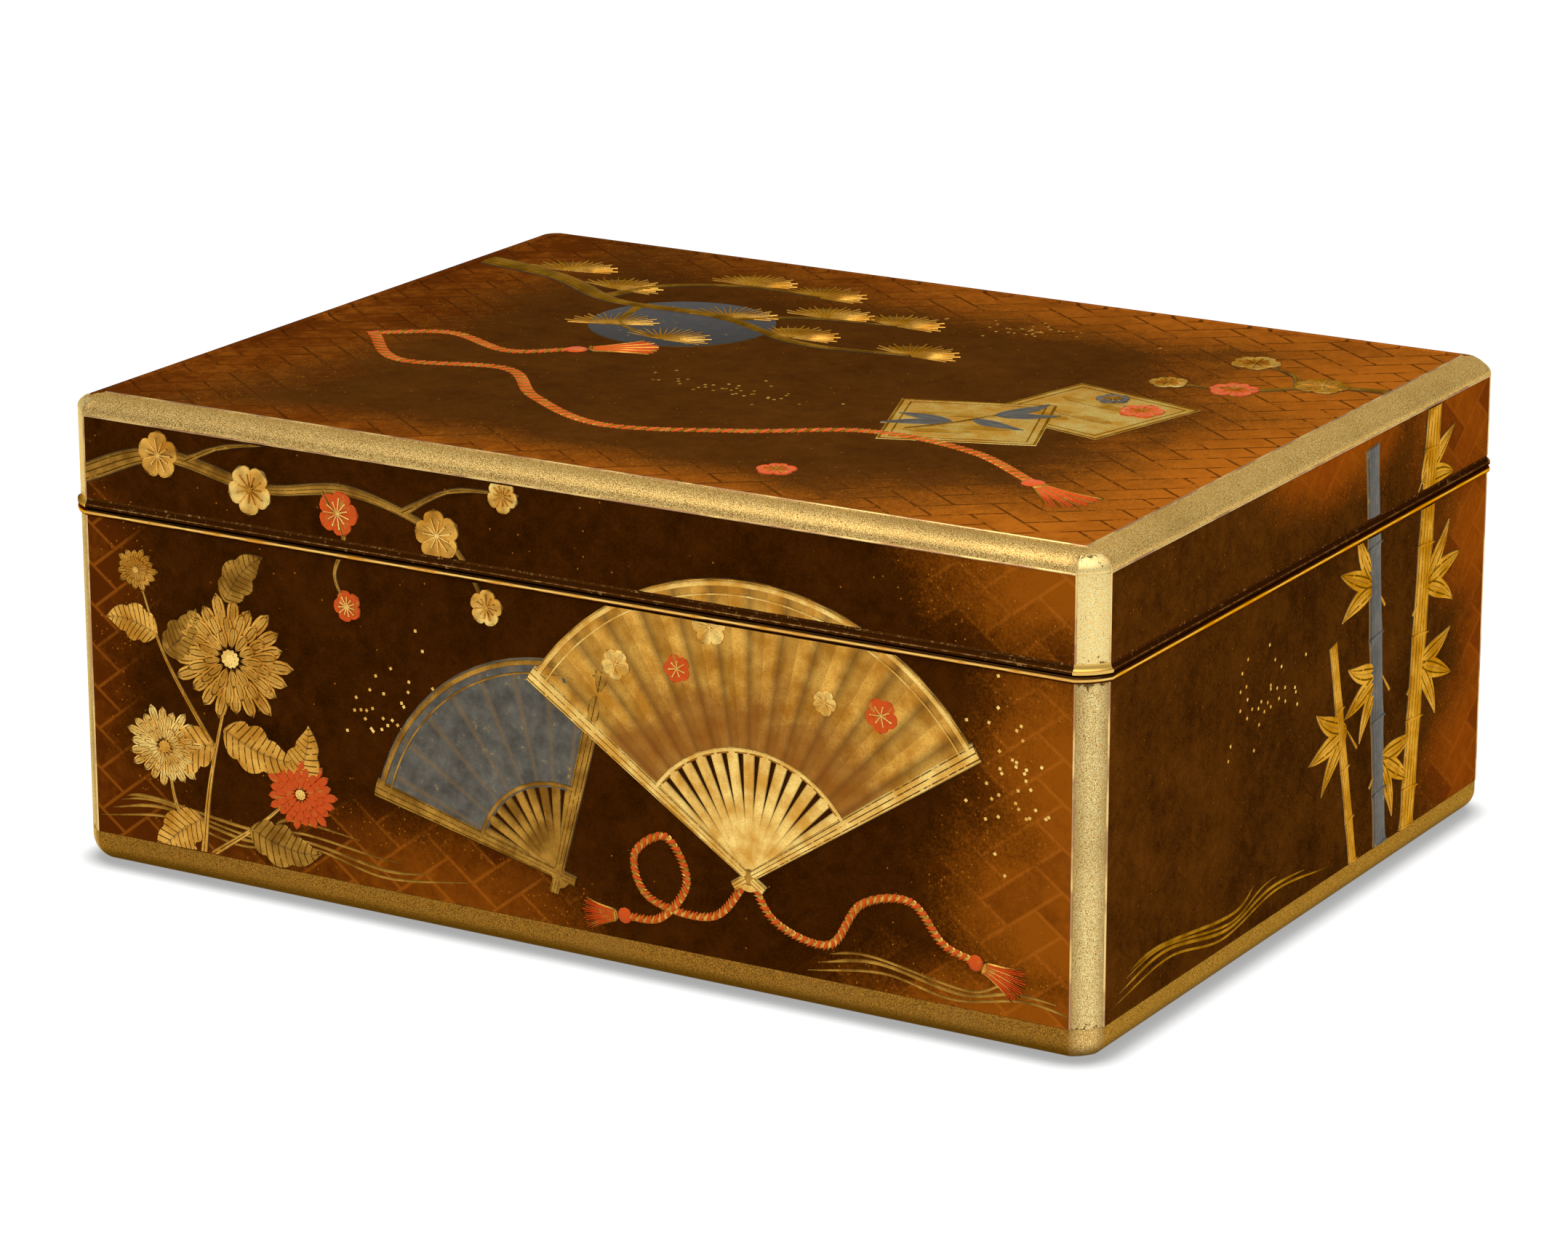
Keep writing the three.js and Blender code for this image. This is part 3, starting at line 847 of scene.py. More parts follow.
@dataclass
class BoxWork:
    """The box itself: its strips, rims and boards, with sizes taken from the frame."""

    ridge_width: float = 0.75
    ridge_proud: float = 0.35
    top_inner_cut: float = 1.0
    bottom_round: float = 8.5
    wall: float = 7.0
    crown_steps: int = 20
    ridge_steps: int = 8
    bead_proud: float = 1.1
    lapped_from: float = 0.45
    plan: Plan = field(init=False)
    heights: dict[str, float] = field(init=False)
    reach: dict[str, float] = field(init=False)
    lip: float = field(init=False)
    panel_inset: float = field(init=False)
    floor_inset: float = field(init=False)

    def __post_init__(self) -> None:
        """Reads the driving sizes from the CAD nodes."""
        low, high = (
            {name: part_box(name)[end] / MM for name in frame["nodes"]} for end in (0, 1)
        )
        self.plan = Plan(half_length=high["base_wall_right"].x, half_depth=high["base_wall_back"].y)
        self.heights = {
            "floor": high["base_floor"].z,
            "bottom_band": high["base_edge_front"].z,
            "base_wall": high["base_wall_front"].z,
            "seam": high["base_rim_front"].z,
            "lid_rim": low["lid_rim_front"].z,
            "lid_wall": low["lid_wall_front"].z,
            "top_band": high["lid_wall_front"].z,
            "ceiling": low["lid_panel"].z,
            "panel": high["lid_panel"].z,
            "crown": high["lid_edge_front"].z - self.ridge_proud,
        }
        self.lip = self.heights["top_band"] + 0.8 * (self.heights["crown"] - self.heights["top_band"])
        self.reach = {
            "half_length": self.plan.half_length,
            "half_depth": self.plan.half_depth,
            "half_width": self.plan.corner_cut,
        }
        self.panel_inset = self.plan.half_length - high["lid_panel"].x
        self.floor_inset = self.plan.half_length - high["base_floor"].x

    def corner_gold(self, body: str) -> CornerGold:
        """Returns the gold of the body's upright corners, paler on the lid as painted light."""
        if body == "base":
            ends = (self.heights["bottom_band"], self.heights["base_wall"])
            tones = {"light": "FFF4B4", "deep": "D29C46", "pitted": 0.41}
            return CornerGold("corner_gold_powder", **tones, **self.reach, ends=ends)
        # The lid's corners get paler golds and little side shade: painted light, brighter up the box.
        ends = (self.heights["lid_wall"], self.lip)
        tones = {"light": "FFF8BC", "deep": "FCCC6C", "pitted": 0.375, "side_shade": 0.15}
        return CornerGold("corner_gold_powder_lid", **tones, **self.reach, ends=ends)

    def strip_finishes(self, body: str) -> list[Finish]:
        """Lists a strip's finishes: its gold face, raised lines, hidden side and corners."""
        return [GoldPowder("sprinkled_gold_powder"), RIDGE_LINE, SPRINKLED, self.corner_gold(body)]

    def ridge(self) -> list[tuple[float, float]]:
        """Lists shares of the width and the rise of a raised line."""
        return [
            (i / self.ridge_steps, self.ridge_proud * math.sin(math.pi * i / self.ridge_steps))
            for i in range(self.ridge_steps + 1)
        ]

    def sweep(
        self,
        name: str,
        side: int,
        profile: Sequence[ProfilePoint],
        finishes: Sequence[Finish],
        wrapped: bool = False,
    ) -> None:
        """Makes one mitred strip along a side and puts it in place of its CAD node.

        Args:
            name: The CAD node's name, which ends with the side.
            side: The side's number.
            profile: The section, up the outside, over the top and down the inside.
            finishes: The finishes that the profile's numbers name.
            wrapped: Whether the upright corner strips run on over this one, as the last finish.
        """
        share = self.ridge_width / (self.plan.corner_cut * math.sqrt(2))
        stops = [share * i / 4 for i in range(5)] + [share + (0.5 - share) * i / 7 for i in range(1, 8)]
        lined = name.startswith("lid")
        rows, marks = [], []
        for corner, t in self.plan.side_stations(side, stops):
            round_corner = min(t, 1 - t)
            over = wrapped and round_corner > 0
            on_line = lined and round_corner < 1.01 * share
            raised = self.ridge_proud * math.sin(math.pi * round_corner / share) if on_line else 0.0
            row = []
            for point in profile:
                strip = over and point.height < self.lip and point.inset < self.wall
                inset = max(point.inset, 0) - raised if strip else point.inset
                spot = self.plan.point(corner, t, inset, point.cut)
                row.append(spot.to_3d() + Vector((0, 0, point.height)))
            rows.append(row)
            skin = 1 if on_line else len(finishes) - 1
            marks.append(
                [skin if over and p.height < self.lip and p.finish < 2 else p.finish for p in profile]
            )
        # Two rows near the ends of the straight run keep its shading straight.
        middle = len(stops) - 1
        near_end = [
            [a.lerp(b, share) for a, b in zip(rows[middle], rows[middle + 1])] for share in (0.01, 0.99)
        ]
        rows[middle + 1 : middle + 1] = near_end
        # A face between two rows takes the marks of the row that lies further round the corner.
        shape = loft(rows, marks[:middle] + [[p.finish for p in profile]] * 3 + marks[middle + 2 :])
        made = finished(name + "_strip", shape, finishes, name.split("_")[0])
        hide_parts(name)

    def crown_cut(self, inset: float) -> float:
        """Returns the corner's cut on the crown, which closes to a near mitre at the panel."""
        share = (max(inset, 0) / self.panel_inset) ** 2
        return self.plan.cut_at(inset) * (1 - share) + self.top_inner_cut * share

    def top_edges(self) -> None:
        """Makes the four crowned strips round the top."""
        low, high = self.heights["top_band"], self.heights["crown"]
        run, rise = self.panel_inset - self.ridge_width, high - low - self.ridge_width
        points = [
            ProfilePoint(-proud, low + share * self.ridge_width, None, 1) for share, proud in self.ridge()
        ]
        points[-1] = ProfilePoint(points[-1].inset, points[-1].height, None, 0)
        for i in range(1, self.crown_steps):
            angle = math.pi / 2 * i / self.crown_steps
            inset = run * (1 - math.cos(angle))
            height = low + self.ridge_width + rise * math.sin(angle)
            # A shallow hollow runs along the inner raised line.
            hollow = 0.25 * math.exp(-(((inset - run + 1.2) / 0.9) ** 2))
            points.append(ProfilePoint(inset, height - hollow))
        points += [
            ProfilePoint(run + share * self.ridge_width, high + proud, None, 1)
            for share, proud in self.ridge()
        ]
        points = [ProfilePoint(p.inset, p.height, self.crown_cut(p.inset), p.finish) for p in points]
        points += [
            ProfilePoint(self.panel_inset, self.heights["ceiling"], self.top_inner_cut, 2),
            ProfilePoint(self.wall, self.heights["ceiling"], None, 2),
            ProfilePoint(self.wall, low, None, 2),
        ]
        # The short strips get a paler copy of the powder, as painted light beside the long strips.
        finishes = self.strip_finishes("lid")
        short = GoldPowder("sprinkled_gold_powder_painted_light", light="FFE89E", deep="DA9E40")
        # At the back and on the left the ground's lacquer laps over the inner line and half the crown.
        lapped = [
            replace(p, finish=3) if p.inset > self.lapped_from * run and p.finish < 2 else p
            for p in points
        ]
        for side, name in enumerate(self.plan.sides):
            faces = [short, *finishes[1:]] if side % 2 else finishes
            far = name in ("back", "left")
            section = lapped if far else points
            faces = [*faces[:3], self.top_ground(), faces[3]] if far else faces
            self.sweep("lid_edge_" + name, side, section, faces, wrapped=True)

    def bottom_edges(self) -> None:
        """Makes the four rounded strips round the bottom."""
        radius, top = self.bottom_round, self.heights["bottom_band"]
        points = []
        for i in range(self.crown_steps + 1):
            angle = math.pi / 2 * i / self.crown_steps
            points.append(ProfilePoint(radius * (1 - math.sin(angle)), radius * (1 - math.cos(angle))))
        points += [
            ProfilePoint(0, top - 0.2),
            ProfilePoint(0.2, top),
            ProfilePoint(self.wall, top, None, 2),
            ProfilePoint(self.wall, self.heights["floor"], None, 2),
            ProfilePoint(self.floor_inset, self.heights["floor"], None, 2),
            ProfilePoint(self.floor_inset, 0, None, 0),
        ]
        # The long sides get a darker copy of the powder and the short sides a lighter one: painted shade and
        # painted light.
        shaded_long_gold = GoldPowder("sprinkled_gold_powder_low_shaded", light="B88430", deep="6C4614", foot=7.0)
        lit_short_gold = GoldPowder("sprinkled_gold_powder_side_lit", light="D0A04A", deep="80561C", foot=7.0)
        # The bottom corners get strong painted shade down their sides and towards the table.
        tones = {"foot": 7.0, "side": "8A6022", "side_shade": 0.8}
        corner = CornerGold("corner_gold_powder_low", **tones, **self.reach)
        for side, name in enumerate(self.plan.sides):
            gold = lit_short_gold if side % 2 else shaded_long_gold
            finishes = [gold, RIDGE_LINE, SPRINKLED, corner]
            self.sweep("base_edge_" + name, side, points, finishes, wrapped=True)

    def rims(self) -> None:
        """Makes the base's half-round bead and the lid's flared rim."""
        low, high = self.heights["base_wall"], self.heights["seam"]
        burnished = [BrightGold("burnished_gold", (low + high) / 2, (high - low) / 2)]
        bead = []
        for i in range(17):
            angle = (i / 16 - 0.5) * math.pi
            height = (low + high) / 2 + (high - low) / 2 * math.sin(angle)
            bead.append(ProfilePoint(-self.bead_proud * math.cos(angle), height))
        bead += [ProfilePoint(self.wall, high), ProfilePoint(self.wall, low)]
        low, high = self.heights["lid_rim"], self.heights["lid_wall"]
        lip, proud = low + 1.2, 1.1
        flare = [
            ProfilePoint(-0.7, low),
            ProfilePoint(-0.95, low + 0.1),
            ProfilePoint(-proud, low + 0.4),
            ProfilePoint(-proud, lip - 0.25, None, 1),
        ]
        for i in range(13):
            angle = math.pi / 2 * (1 - i / 12)
            point = (proud * (math.cos(angle) - 1), high - (high - lip) * math.sin(angle))
            flare.append(ProfilePoint(*point, None, 1 if i < 2 else 2 if i > 8 else 0))
        flare += [ProfilePoint(self.wall, high), ProfilePoint(self.wall, low)]
        place = (self.plan.half_length, self.plan.half_depth, self.plan.corner_cut)
        rim = [
            FlaredRim("flared_rim", *place),
            FlaredRim("rubbed_rim", *place, rubbed=1.0),
            FlaredRim("worn_rim", *place, rubbed=0.35, streak=1.4),
        ]
        for side, name in enumerate(self.plan.sides):
            self.sweep("base_rim_" + name, side, bead, burnished)
            self.sweep("lid_rim_" + name, side, flare, rim)

    def corner_strips(self) -> None:
        """Makes the upright strips, each with a raised line along both edges."""
        share = self.ridge_width / (self.plan.corner_cut * math.sqrt(2))
        face = [(share + (1 - 2 * share) * i / 10, 0.0) for i in range(1, 10)]
        raised = [(s * share, proud) for s, proud in self.ridge()]
        outside = raised + face + [(1 - t, proud) for t, proud in reversed(raised)]
        steps = self.ridge_steps
        marks = [1 if i < steps or i >= len(outside) - steps - 1 else 0 for i in range(len(outside))]
        runs = {
            "base": (self.heights["bottom_band"], self.heights["base_wall"]),
            "lid": (self.heights["lid_wall"], self.heights["top_band"]),
        }
        for number, corner in enumerate(self.plan.corners):
            around = [self.plan.point(number, t, -proud) for t, proud in outside]
            around += [self.plan.point(number, 1 - i / 6, self.wall) for i in range(7)]
            numbers = [[3 if mark == 0 else mark for mark in marks[:-1] + [2] * 8]]
            for body, limits in runs.items():
                rows = [[Vector((point.x, point.y, height)) for point in around] for height in limits]
                name, finishes = f"{body}_corner_{corner}", self.strip_finishes(body)
                made = finished(name + "_strip", loft(rows, numbers), finishes, body)
                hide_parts(name)

    def top_ground(self) -> HerringboneGround:
        """Returns the ground of the top, whose clouds lie along all its edges."""
        top = (
            Patch(-206, -40, 64, 150),
            Patch(-206, 90, 62, 110),
            Patch(-40, -160, 200, 40),
            Patch(200, -150, 116, 66),
            Patch(214, -40, 70, 130),
            Patch(206, 90, 88, 90),
            Patch(60, 160, 240, 58),
        )
        return HerringboneGround(
            "ground_top",
            Plane.TOP,
            (self.heights["ceiling"] + self.heights["panel"]) / 2,
            top,
            "4A2809",
            "623810",
            cloud_low="6A3208",
            cloud_high="BC6A1A",
            line="4A2406",
            lined=0.8,
            ghost="2A1404",
            ghosted=0.1,
            broken=0.82,
            uneven=0.05,
            # The top's clouds lighten to the right, partly as painted light.
            dust_and_light_lean=0.8,
        )

    def boards(self) -> None:
        """Finishes the flat boards and the risers, which keep their CAD shapes."""
        skin_y = self.plan.half_depth - self.wall / 2
        skin_x = self.plan.half_length - self.wall / 2
        front = (
            Patch(206, 164, 64, 34),
            Patch(206, 96, 48, 44),
            Patch(206, 50, 58, 40),
            Patch(200, 4, 84, 28),
            Patch(-198, 105, 30, 36),
            Patch(-200, 60, 24, 40),
            Patch(-200, 20, 42, 36),
            Patch(-168, 6, 60, 18),
            Patch(-56, 8, 68, 30),
        )
        side = (
            Patch(156, 164, 76, 40),
            Patch(20, 170, 62, 24),
            Patch(156, 108, 54, 28),
            Patch(160, 68, 36, 34),
            Patch(156, 26, 58, 36),
        )
        browner = {
            "bare_low": "432204",
            "bare_high": "6E400E",
            "cloud_low": "88420A",
            "cloud_high": "B8620E",
            "ghost": "1E0E02",
            "ghosted": 0.4,
            "start": (114.4, 110.6),
        }
        # The front and back clouds darken to the left, by thinner dust and by painted light falloff.
        thinning_and_light_falloff = {"cloud_low": "5C2905", "cloud_high": "98500C", "dust_and_light_lean": 1.0}
        grounds = {"panel": self.top_ground()}
        for name in ("front", "back"):
            grounds[name] = HerringboneGround("ground_" + name, Plane.FRONT, skin_y, front, **thinning_and_light_falloff)
        for name in ("right", "left"):
            grounds[name] = HerringboneGround("ground_" + name, Plane.SIDE, skin_x, side, **browner)
        for name, node in frame["nodes"].items():
            kind, place = name.split("_")[1], name.split("_")[-1]
            if kind in ("wall", "panel"):
                node.data.materials[0] = grounds[place].material()
            elif kind in ("riser", "floor"):
                node.data.materials[0] = SPRINKLED.material()

    def build(self) -> None:
        """Makes and dresses the whole box."""
        self.top_edges()
        self.bottom_edges()
        self.rims()
        self.corner_strips()
        self.boards()


Outline = Callable[[float], float]


def bar(s: float) -> float:
    """Keeps one width."""
    return 1.0


def petal(s: float) -> float:
    """Grows from a narrow root to a round end."""
    return max(math.sin(math.pi * s**1.5), 0.0) ** 0.5


def leaf(s: float) -> float:
    """Swells low down and runs out to a point."""
    return max(math.sin(math.pi * s**0.75), 0.0) ** 0.85


def lobed(s: float) -> float:
    """Swells as a leaf does, with three round lobes a side."""
    return leaf(s) * (0.72 + 0.28 * abs(math.sin(math.pi * (3 * s + 0.1))) ** 0.6)


def brushed(s: float) -> float:
    """Thins quickly at both ends, as a brush line does."""
    return min(1.0, 0.15 + 7 * min(s, 1 - s))


def tailed(s: float) -> float:
    """Thins slowly from root to tip."""
    return 1 - 0.85 * s


def slatted(s: float) -> float:
    """Widens from the rivet outwards."""
    return 0.5 + 0.5 * s


class Section(Enum):
    """How a raised blade is shaped across its width."""

    ROUND = "round"
    CUPPED = "cupped"
    CREASED = "creased"
    FLAT = "flat"

    def height(self, x: float) -> float:
        """Finds the share of the full rise at a place across, from -1 to 1."""
        if self is Section.ROUND:
            return 0.35 + 0.65 * math.sqrt(max(1 - x * x, 0.0))
        if self is Section.CUPPED:
            return 0.56 + 0.44 * x * x
        if self is Section.CREASED:
            return 1 - 0.7 * (abs(x) - 0.4) ** 2 - 0.4 * math.exp(-((x / 0.16) ** 2))
        return 1.0


@dataclass(frozen=True)
class Blade:
    """The cut of a raised blade: its outline, section, rise and number of engraved lines.

    Veins are lines that slant up from the middle to both sides.
    """

    outline: Outline
    section: Section
    rise: float
    lines: float = 0.0
    across: int = 4
    flare: float = 0.3
    pleated: bool = False
    veins: float = 0.0


def curve(points: Sequence[tuple[float, float]], steps: int) -> list[Vector]:
    """Runs a smooth curve through points.

    Args:
        points: The points in turn, in millimetres on the board.
        steps: The number of steps along the whole curve.

    Returns:
        The curve's points, one more than the steps.
    """
    knots = [Vector(point) for point in points]
    knots = [2 * knots[0] - knots[1], *knots, 2 * knots[-1] - knots[-2]]
    spans = len(points) - 1
    run = []
    for number in range(steps + 1):
        along = number / steps * spans
        span = min(int(along), spans - 1)
        t = along - span
        a, b, c, d = knots[span : span + 4]
        cubic = (3 * b - a - 3 * c + d) * t**3
        square = (2 * a - 5 * b + 4 * c - d) * t**2
        run.append((2 * b + (c - a) * t + square + cubic) / 2)
    return run


def polar(centre: Sequence[float], reach: float, degrees: float) -> Vector:
    """Finds the point at a distance and direction from a centre."""
    angle = math.radians(degrees)
    return Vector((centre[0] + reach * math.cos(angle), centre[1] + reach * math.sin(angle)))


def ray(
    centre: Sequence[float], start: float, end: float, degrees: float, steps: int = 3, bend: float = 0
) -> list[Vector]:
    """Runs outwards from a centre.

    Args:
        centre: The centre on the board.
        start: The distance at which the ray starts.
        end: The distance at which it ends.
        degrees: Its direction.
        steps: The number of steps.
        bend: How many degrees it turns aside on its way.

    Returns:
        The ray's points.
    """
    reaches = [start + (end - start) * i / steps for i in range(steps + 1)]
    return [polar(centre, reach, degrees + bend * (i / steps) ** 2) for i, reach in enumerate(reaches)]


def walked(run: Sequence[Vector], step: float) -> list[tuple[Vector, Vector]]:
    """Walks along a curve at an even pace.

    Args:
        run: The curve's points.
        step: The distance between stops.

    Returns:
        Each stop, with the direction of travel there.
    """
    stops, left = [], 0.0
    for start, end in zip(run, run[1:]):
        length = (end - start).length
        heading = (end - start).normalized()
        while left <= length:
            stops.append((start + heading * left, heading))
            left += step
        left -= length
    return stops


@dataclass(frozen=True)
class Board:
    """A face of the box that carries gold work, with the room that it has between the bands."""

    name: str
    origin: Vector
    across: Vector
    up: Vector
    half_width: float
    bands: dict[str, tuple[float, float]]
    highest: float

    def matrix(self) -> Matrix:
        """Places the board's own across, up and out in the box's frame."""
        out = self.across.cross(self.up)
        turn = Matrix((self.across, self.up, out)).transposed().to_4x4()
        return Matrix.Translation(self.origin) @ turn


@dataclass
class GoldWork:
    """Gathers the raised work of one board, drawn across, up and out in millimetres."""

    board: Board
    piece: str = ""
    shapes: dict[str, bmesh.types.BMesh] = field(default_factory=dict)
    finishes: dict[str, list[Finish]] = field(default_factory=dict)
    foot: float = -0.03

    def join(self, finish: Finish, shape: bmesh.types.BMesh, smooth: bool = True) -> None:
        """Adds a shape to the current piece, and uses the shape up."""
        target = self.shapes.setdefault(self.piece, bmesh.new())
        finishes = self.finishes.setdefault(self.piece, [])
        if finish not in finishes:
            finishes.append(finish)
        for face in shape.faces:
            face.material_index = finishes.index(finish)
            face.smooth = smooth
        scratch = bpy.data.meshes.new("scratch")
        shape.to_mesh(scratch)
        shape.free()
        target.from_mesh(scratch)
        bpy.data.meshes.remove(scratch)

    def blade(
        self,
        finish: Finish,
        spine: Sequence[Vector],
        half_width: float,
        cut: Blade,
        base: float = 0.0,
    ) -> None:
        """Lays a raised blade along a spine: a petal, leaf, needle, stick or band.

        Args:
            finish: Its finish.
            spine: Its middle line, from root to tip.
            half_width: Half its greatest width.
            cut: Its cut.
            base: How far it lies above the board, on what is beneath it.
        """
        rows, across = len(spine) - 1, cut.across
        shape = bmesh.new()
        uv = shape.loops.layers.uv.new("UVMap")
        rise = shape.verts.layers.float.new("rise")
        reach = shape.verts.layers.float.new("reach")
        bmesh.ops.create_grid(shape, x_segments=across, y_segments=rows, size=1)
        drawn, outward = {}, {}
        length = sum((b - a).length for a, b in zip(spine, spine[1:]))
        for number, vert in enumerate(shape.verts):
            row, column = divmod(number, across + 1)
            s, x = row / rows, math.sin(math.pi * (column / across - 0.5))
            along = self.heading(spine, row)
            side = Vector((-along.y, along.x))
            point = spine[row] + side * x * half_width * cut.outline(s)
            share = cut.section.height(x) * (1 - 0.55 * (row % 2) if cut.pleated else 1)
            height = base + cut.rise * share
            vert.co = point.to_3d() + Vector((0, 0, height * self.board.highest))
            # The rise share is also what the finishes paint shade by: low down round sides, in the cups of
            # petals and along pleat valleys, and 0 on the skirt.
            vert[rise], vert[reach] = share if across > 3 else 1, (x + 1) / 2
            slant = cut.veins * (s - 0.45 * abs(x) * half_width * cut.outline(s) / length)
            drawn[vert] = (row if cut.pleated else s * length, (x + 1) / 2 * cut.lines + slant)
            ends = along * ((row == rows) - (row == 0))
            outward[vert] = (side * ((column == across) - (column == 0)) + ends).to_3d() * cut.flare
        for face in shape.faces:
            for loop in face.loops:
                loop[uv].uv = drawn[loop.vert]
        rim = [edge for edge in shape.edges if edge.is_boundary]
        skirt = bmesh.ops.extrude_edge_only(shape, edges=rim)["geom"]
        for vert in (part for part in skirt if isinstance(part, bmesh.types.BMVert)):
            upper = next(v for v in (edge.other_vert(vert) for edge in vert.link_edges) if v in outward)
            vert.co = upper.co + outward[upper]
            vert.co.z = self.foot
            vert[rise] = 0
        close_up(shape)
        self.join(finish, shape, smooth=not cut.pleated)

    @staticmethod
    def heading(spine: Sequence[Vector], row: int) -> Vector:
        """Finds a spine's direction at one of its points."""
        if 0 < row < len(spine) - 1:
            return (spine[row + 1] - spine[row - 1]).normalized()
        if len(spine) == 2:
            return (spine[1] - spine[0]).normalized()
        a, b, c = spine[:3] if row == 0 else reversed(spine[-3:])
        turn = 4 * b - 3 * a - c
        return turn.normalized() if row == 0 else -turn.normalized()

    def bead(
        self, finish: Finish, centre: Sequence[float], radius: float, rise: float, base: float = 0.0
    ) -> None:
        """Sets a round bead.

        Args:
            finish: Its finish.
            centre: Its centre on the board.
            radius: Its radius.
            rise: Its height.
            base: How far it lies above the board.
        """
        shape = bmesh.new()
        shape.loops.layers.uv.new("UVMap")
        layer = shape.verts.layers.float.new("rise")
        bmesh.ops.create_icosphere(shape, subdivisions=2 if radius > 1.2 else 1, radius=1)
        for vert in shape.verts:
            # The rise share falls towards the bead's foot, where the finishes paint shade.
            vert[layer] = 0.4 + 0.6 * max(vert.co.z, 0)
        tall = rise * self.board.highest
        bmesh.ops.scale(shape, vec=(radius, radius, tall), verts=shape.verts)
        cut_off(shape, (0, 0, self.foot), (0, 0, -1))
        close_up(shape)
        middle = Vector((centre[0], centre[1], base * self.board.highest))
        bmesh.ops.translate(shape, vec=middle, verts=shape.verts)
        self.join(finish, shape)

    def plate(
        self, finish: Finish, outline: Sequence[Vector], rise: float, round_over: float = 0.3
    ) -> None:
        """Lays a flat plate with a rounded edge.

        Args:
            finish: Its finish.
            outline: Its corners in turn.
            rise: Its height.
            round_over: The radius of its upper edge.
        """
        shape = bmesh.new()
        shape.loops.layers.uv.new("UVMap")
        layer = shape.verts.layers.float.new("rise")
        corners = [shape.verts.new((point.x, point.y, self.foot)) for point in outline]
        shape.faces.new(corners)
        top = bmesh.ops.extrude_face_region(shape, geom=list(shape.faces))["geom"]
        lifted = [part for part in top if isinstance(part, bmesh.types.BMVert)]
        tall = rise * self.board.highest
        bmesh.ops.translate(shape, vec=(0, 0, tall - self.foot), verts=lifted)
        edges = [part for part in top if isinstance(part, bmesh.types.BMEdge)]
        width = min(round_over, tall * 0.8)
        bmesh.ops.bevel(
            shape, geom=edges, offset=width, segments=3, profile=0.5, affect="EDGES", material=-1
        )
        for vert in shape.verts:
            vert[layer] = max(min(vert.co.z / tall, 1), 0)
        self.join(finish, shape)

    def settle(self) -> None:
        """Cuts the work off at the seam and the bands, and fixes it to its bodies."""
        for piece, shape in self.shapes.items():
            for body, (low, high) in self.board.bands.items():
                part = shape.copy()
                limits = (
                    ((self.board.half_width, 0, 0), (1, 0, 0)),
                    ((-self.board.half_width, 0, 0), (-1, 0, 0)),
                    ((0, high, 0), (0, 1, 0)),
                    ((0, low, 0), (0, -1, 0)),
                )
                for point, out in limits:
                    cut_off(part, point, out)
                if not part.faces:
                    part.free()
                    continue
                bmesh.ops.remove_doubles(part, verts=part.verts, dist=1e-4)
                close_up(part)
                bmesh.ops.transform(part, matrix=self.board.matrix(), verts=part.verts)
                finished(f"{body}_{self.board.name}_{piece}", part, self.finishes[piece], body)
            shape.free()


@dataclass(frozen=True)
class FoldingFan:
    """An open folding fan: a pleated leaf on slats, between two guards, on a rivet."""

    pivot: tuple[float, float]
    opening: tuple[float, float]
    leaf: tuple[float, float] = (42, 100)
    pleats: int = 26
    slats: int = 13
    paper: Finish = FAN_PAPER
    wood: Finish = PALE_GOLD
    base: float = 0.2

    def draw(self, work: GoldWork) -> None:
        """Lays slats, leaf, guards and rivet."""
        low, high = self.leaf
        right, left = self.opening
        span = left - right
        for number in range(self.slats):
            angle = right + span * (number + 0.5) / self.slats
            slat = ray(self.pivot, -5, low + 2, angle, 2)
            half_width = low * math.radians(span / self.slats) * 0.36
            cut = Blade(slatted, Section.ROUND, 0.4, flare=0.12)
            work.blade(self.wood, slat, half_width, cut, self.base + 0.08 * (number % 2))
        middle = (low + high) / 2
        folds = [polar(self.pivot, middle, left - span * i / self.pleats) for i in range(self.pleats + 1)]
        cut = Blade(bar, Section.FLAT, 0.42, across=8, flare=0.3, pleated=True)
        work.blade(self.paper, folds, (high - low) / 2, cut, self.base + 0.15)
        cut = Blade(bar, Section.ROUND, 0.16, flare=0.1)
        for reach, half_width in ((low + 1.2, 0.7), (high - 1.4, 0.9), (high - 5, 0.35)):
            border = [polar(self.pivot, reach, left - span * i / 48) for i in range(49)]
            work.blade(self.wood, border, half_width, cut, self.base + 0.5)
        for angle in self.opening:
            guard = ray(self.pivot, -7, high + 1, angle, 6)
            cut = Blade(slatted, Section.ROUND, 0.75, lines=3, across=6)
            work.blade(self.wood, guard, 3.4, cut, self.base)
        work.bead(BROWN_GOLD, self.pivot, 3.2, 0.5, self.base + 0.3)
        work.bead(PEWTER, self.pivot, 1.9, 0.4, self.base + 0.3)


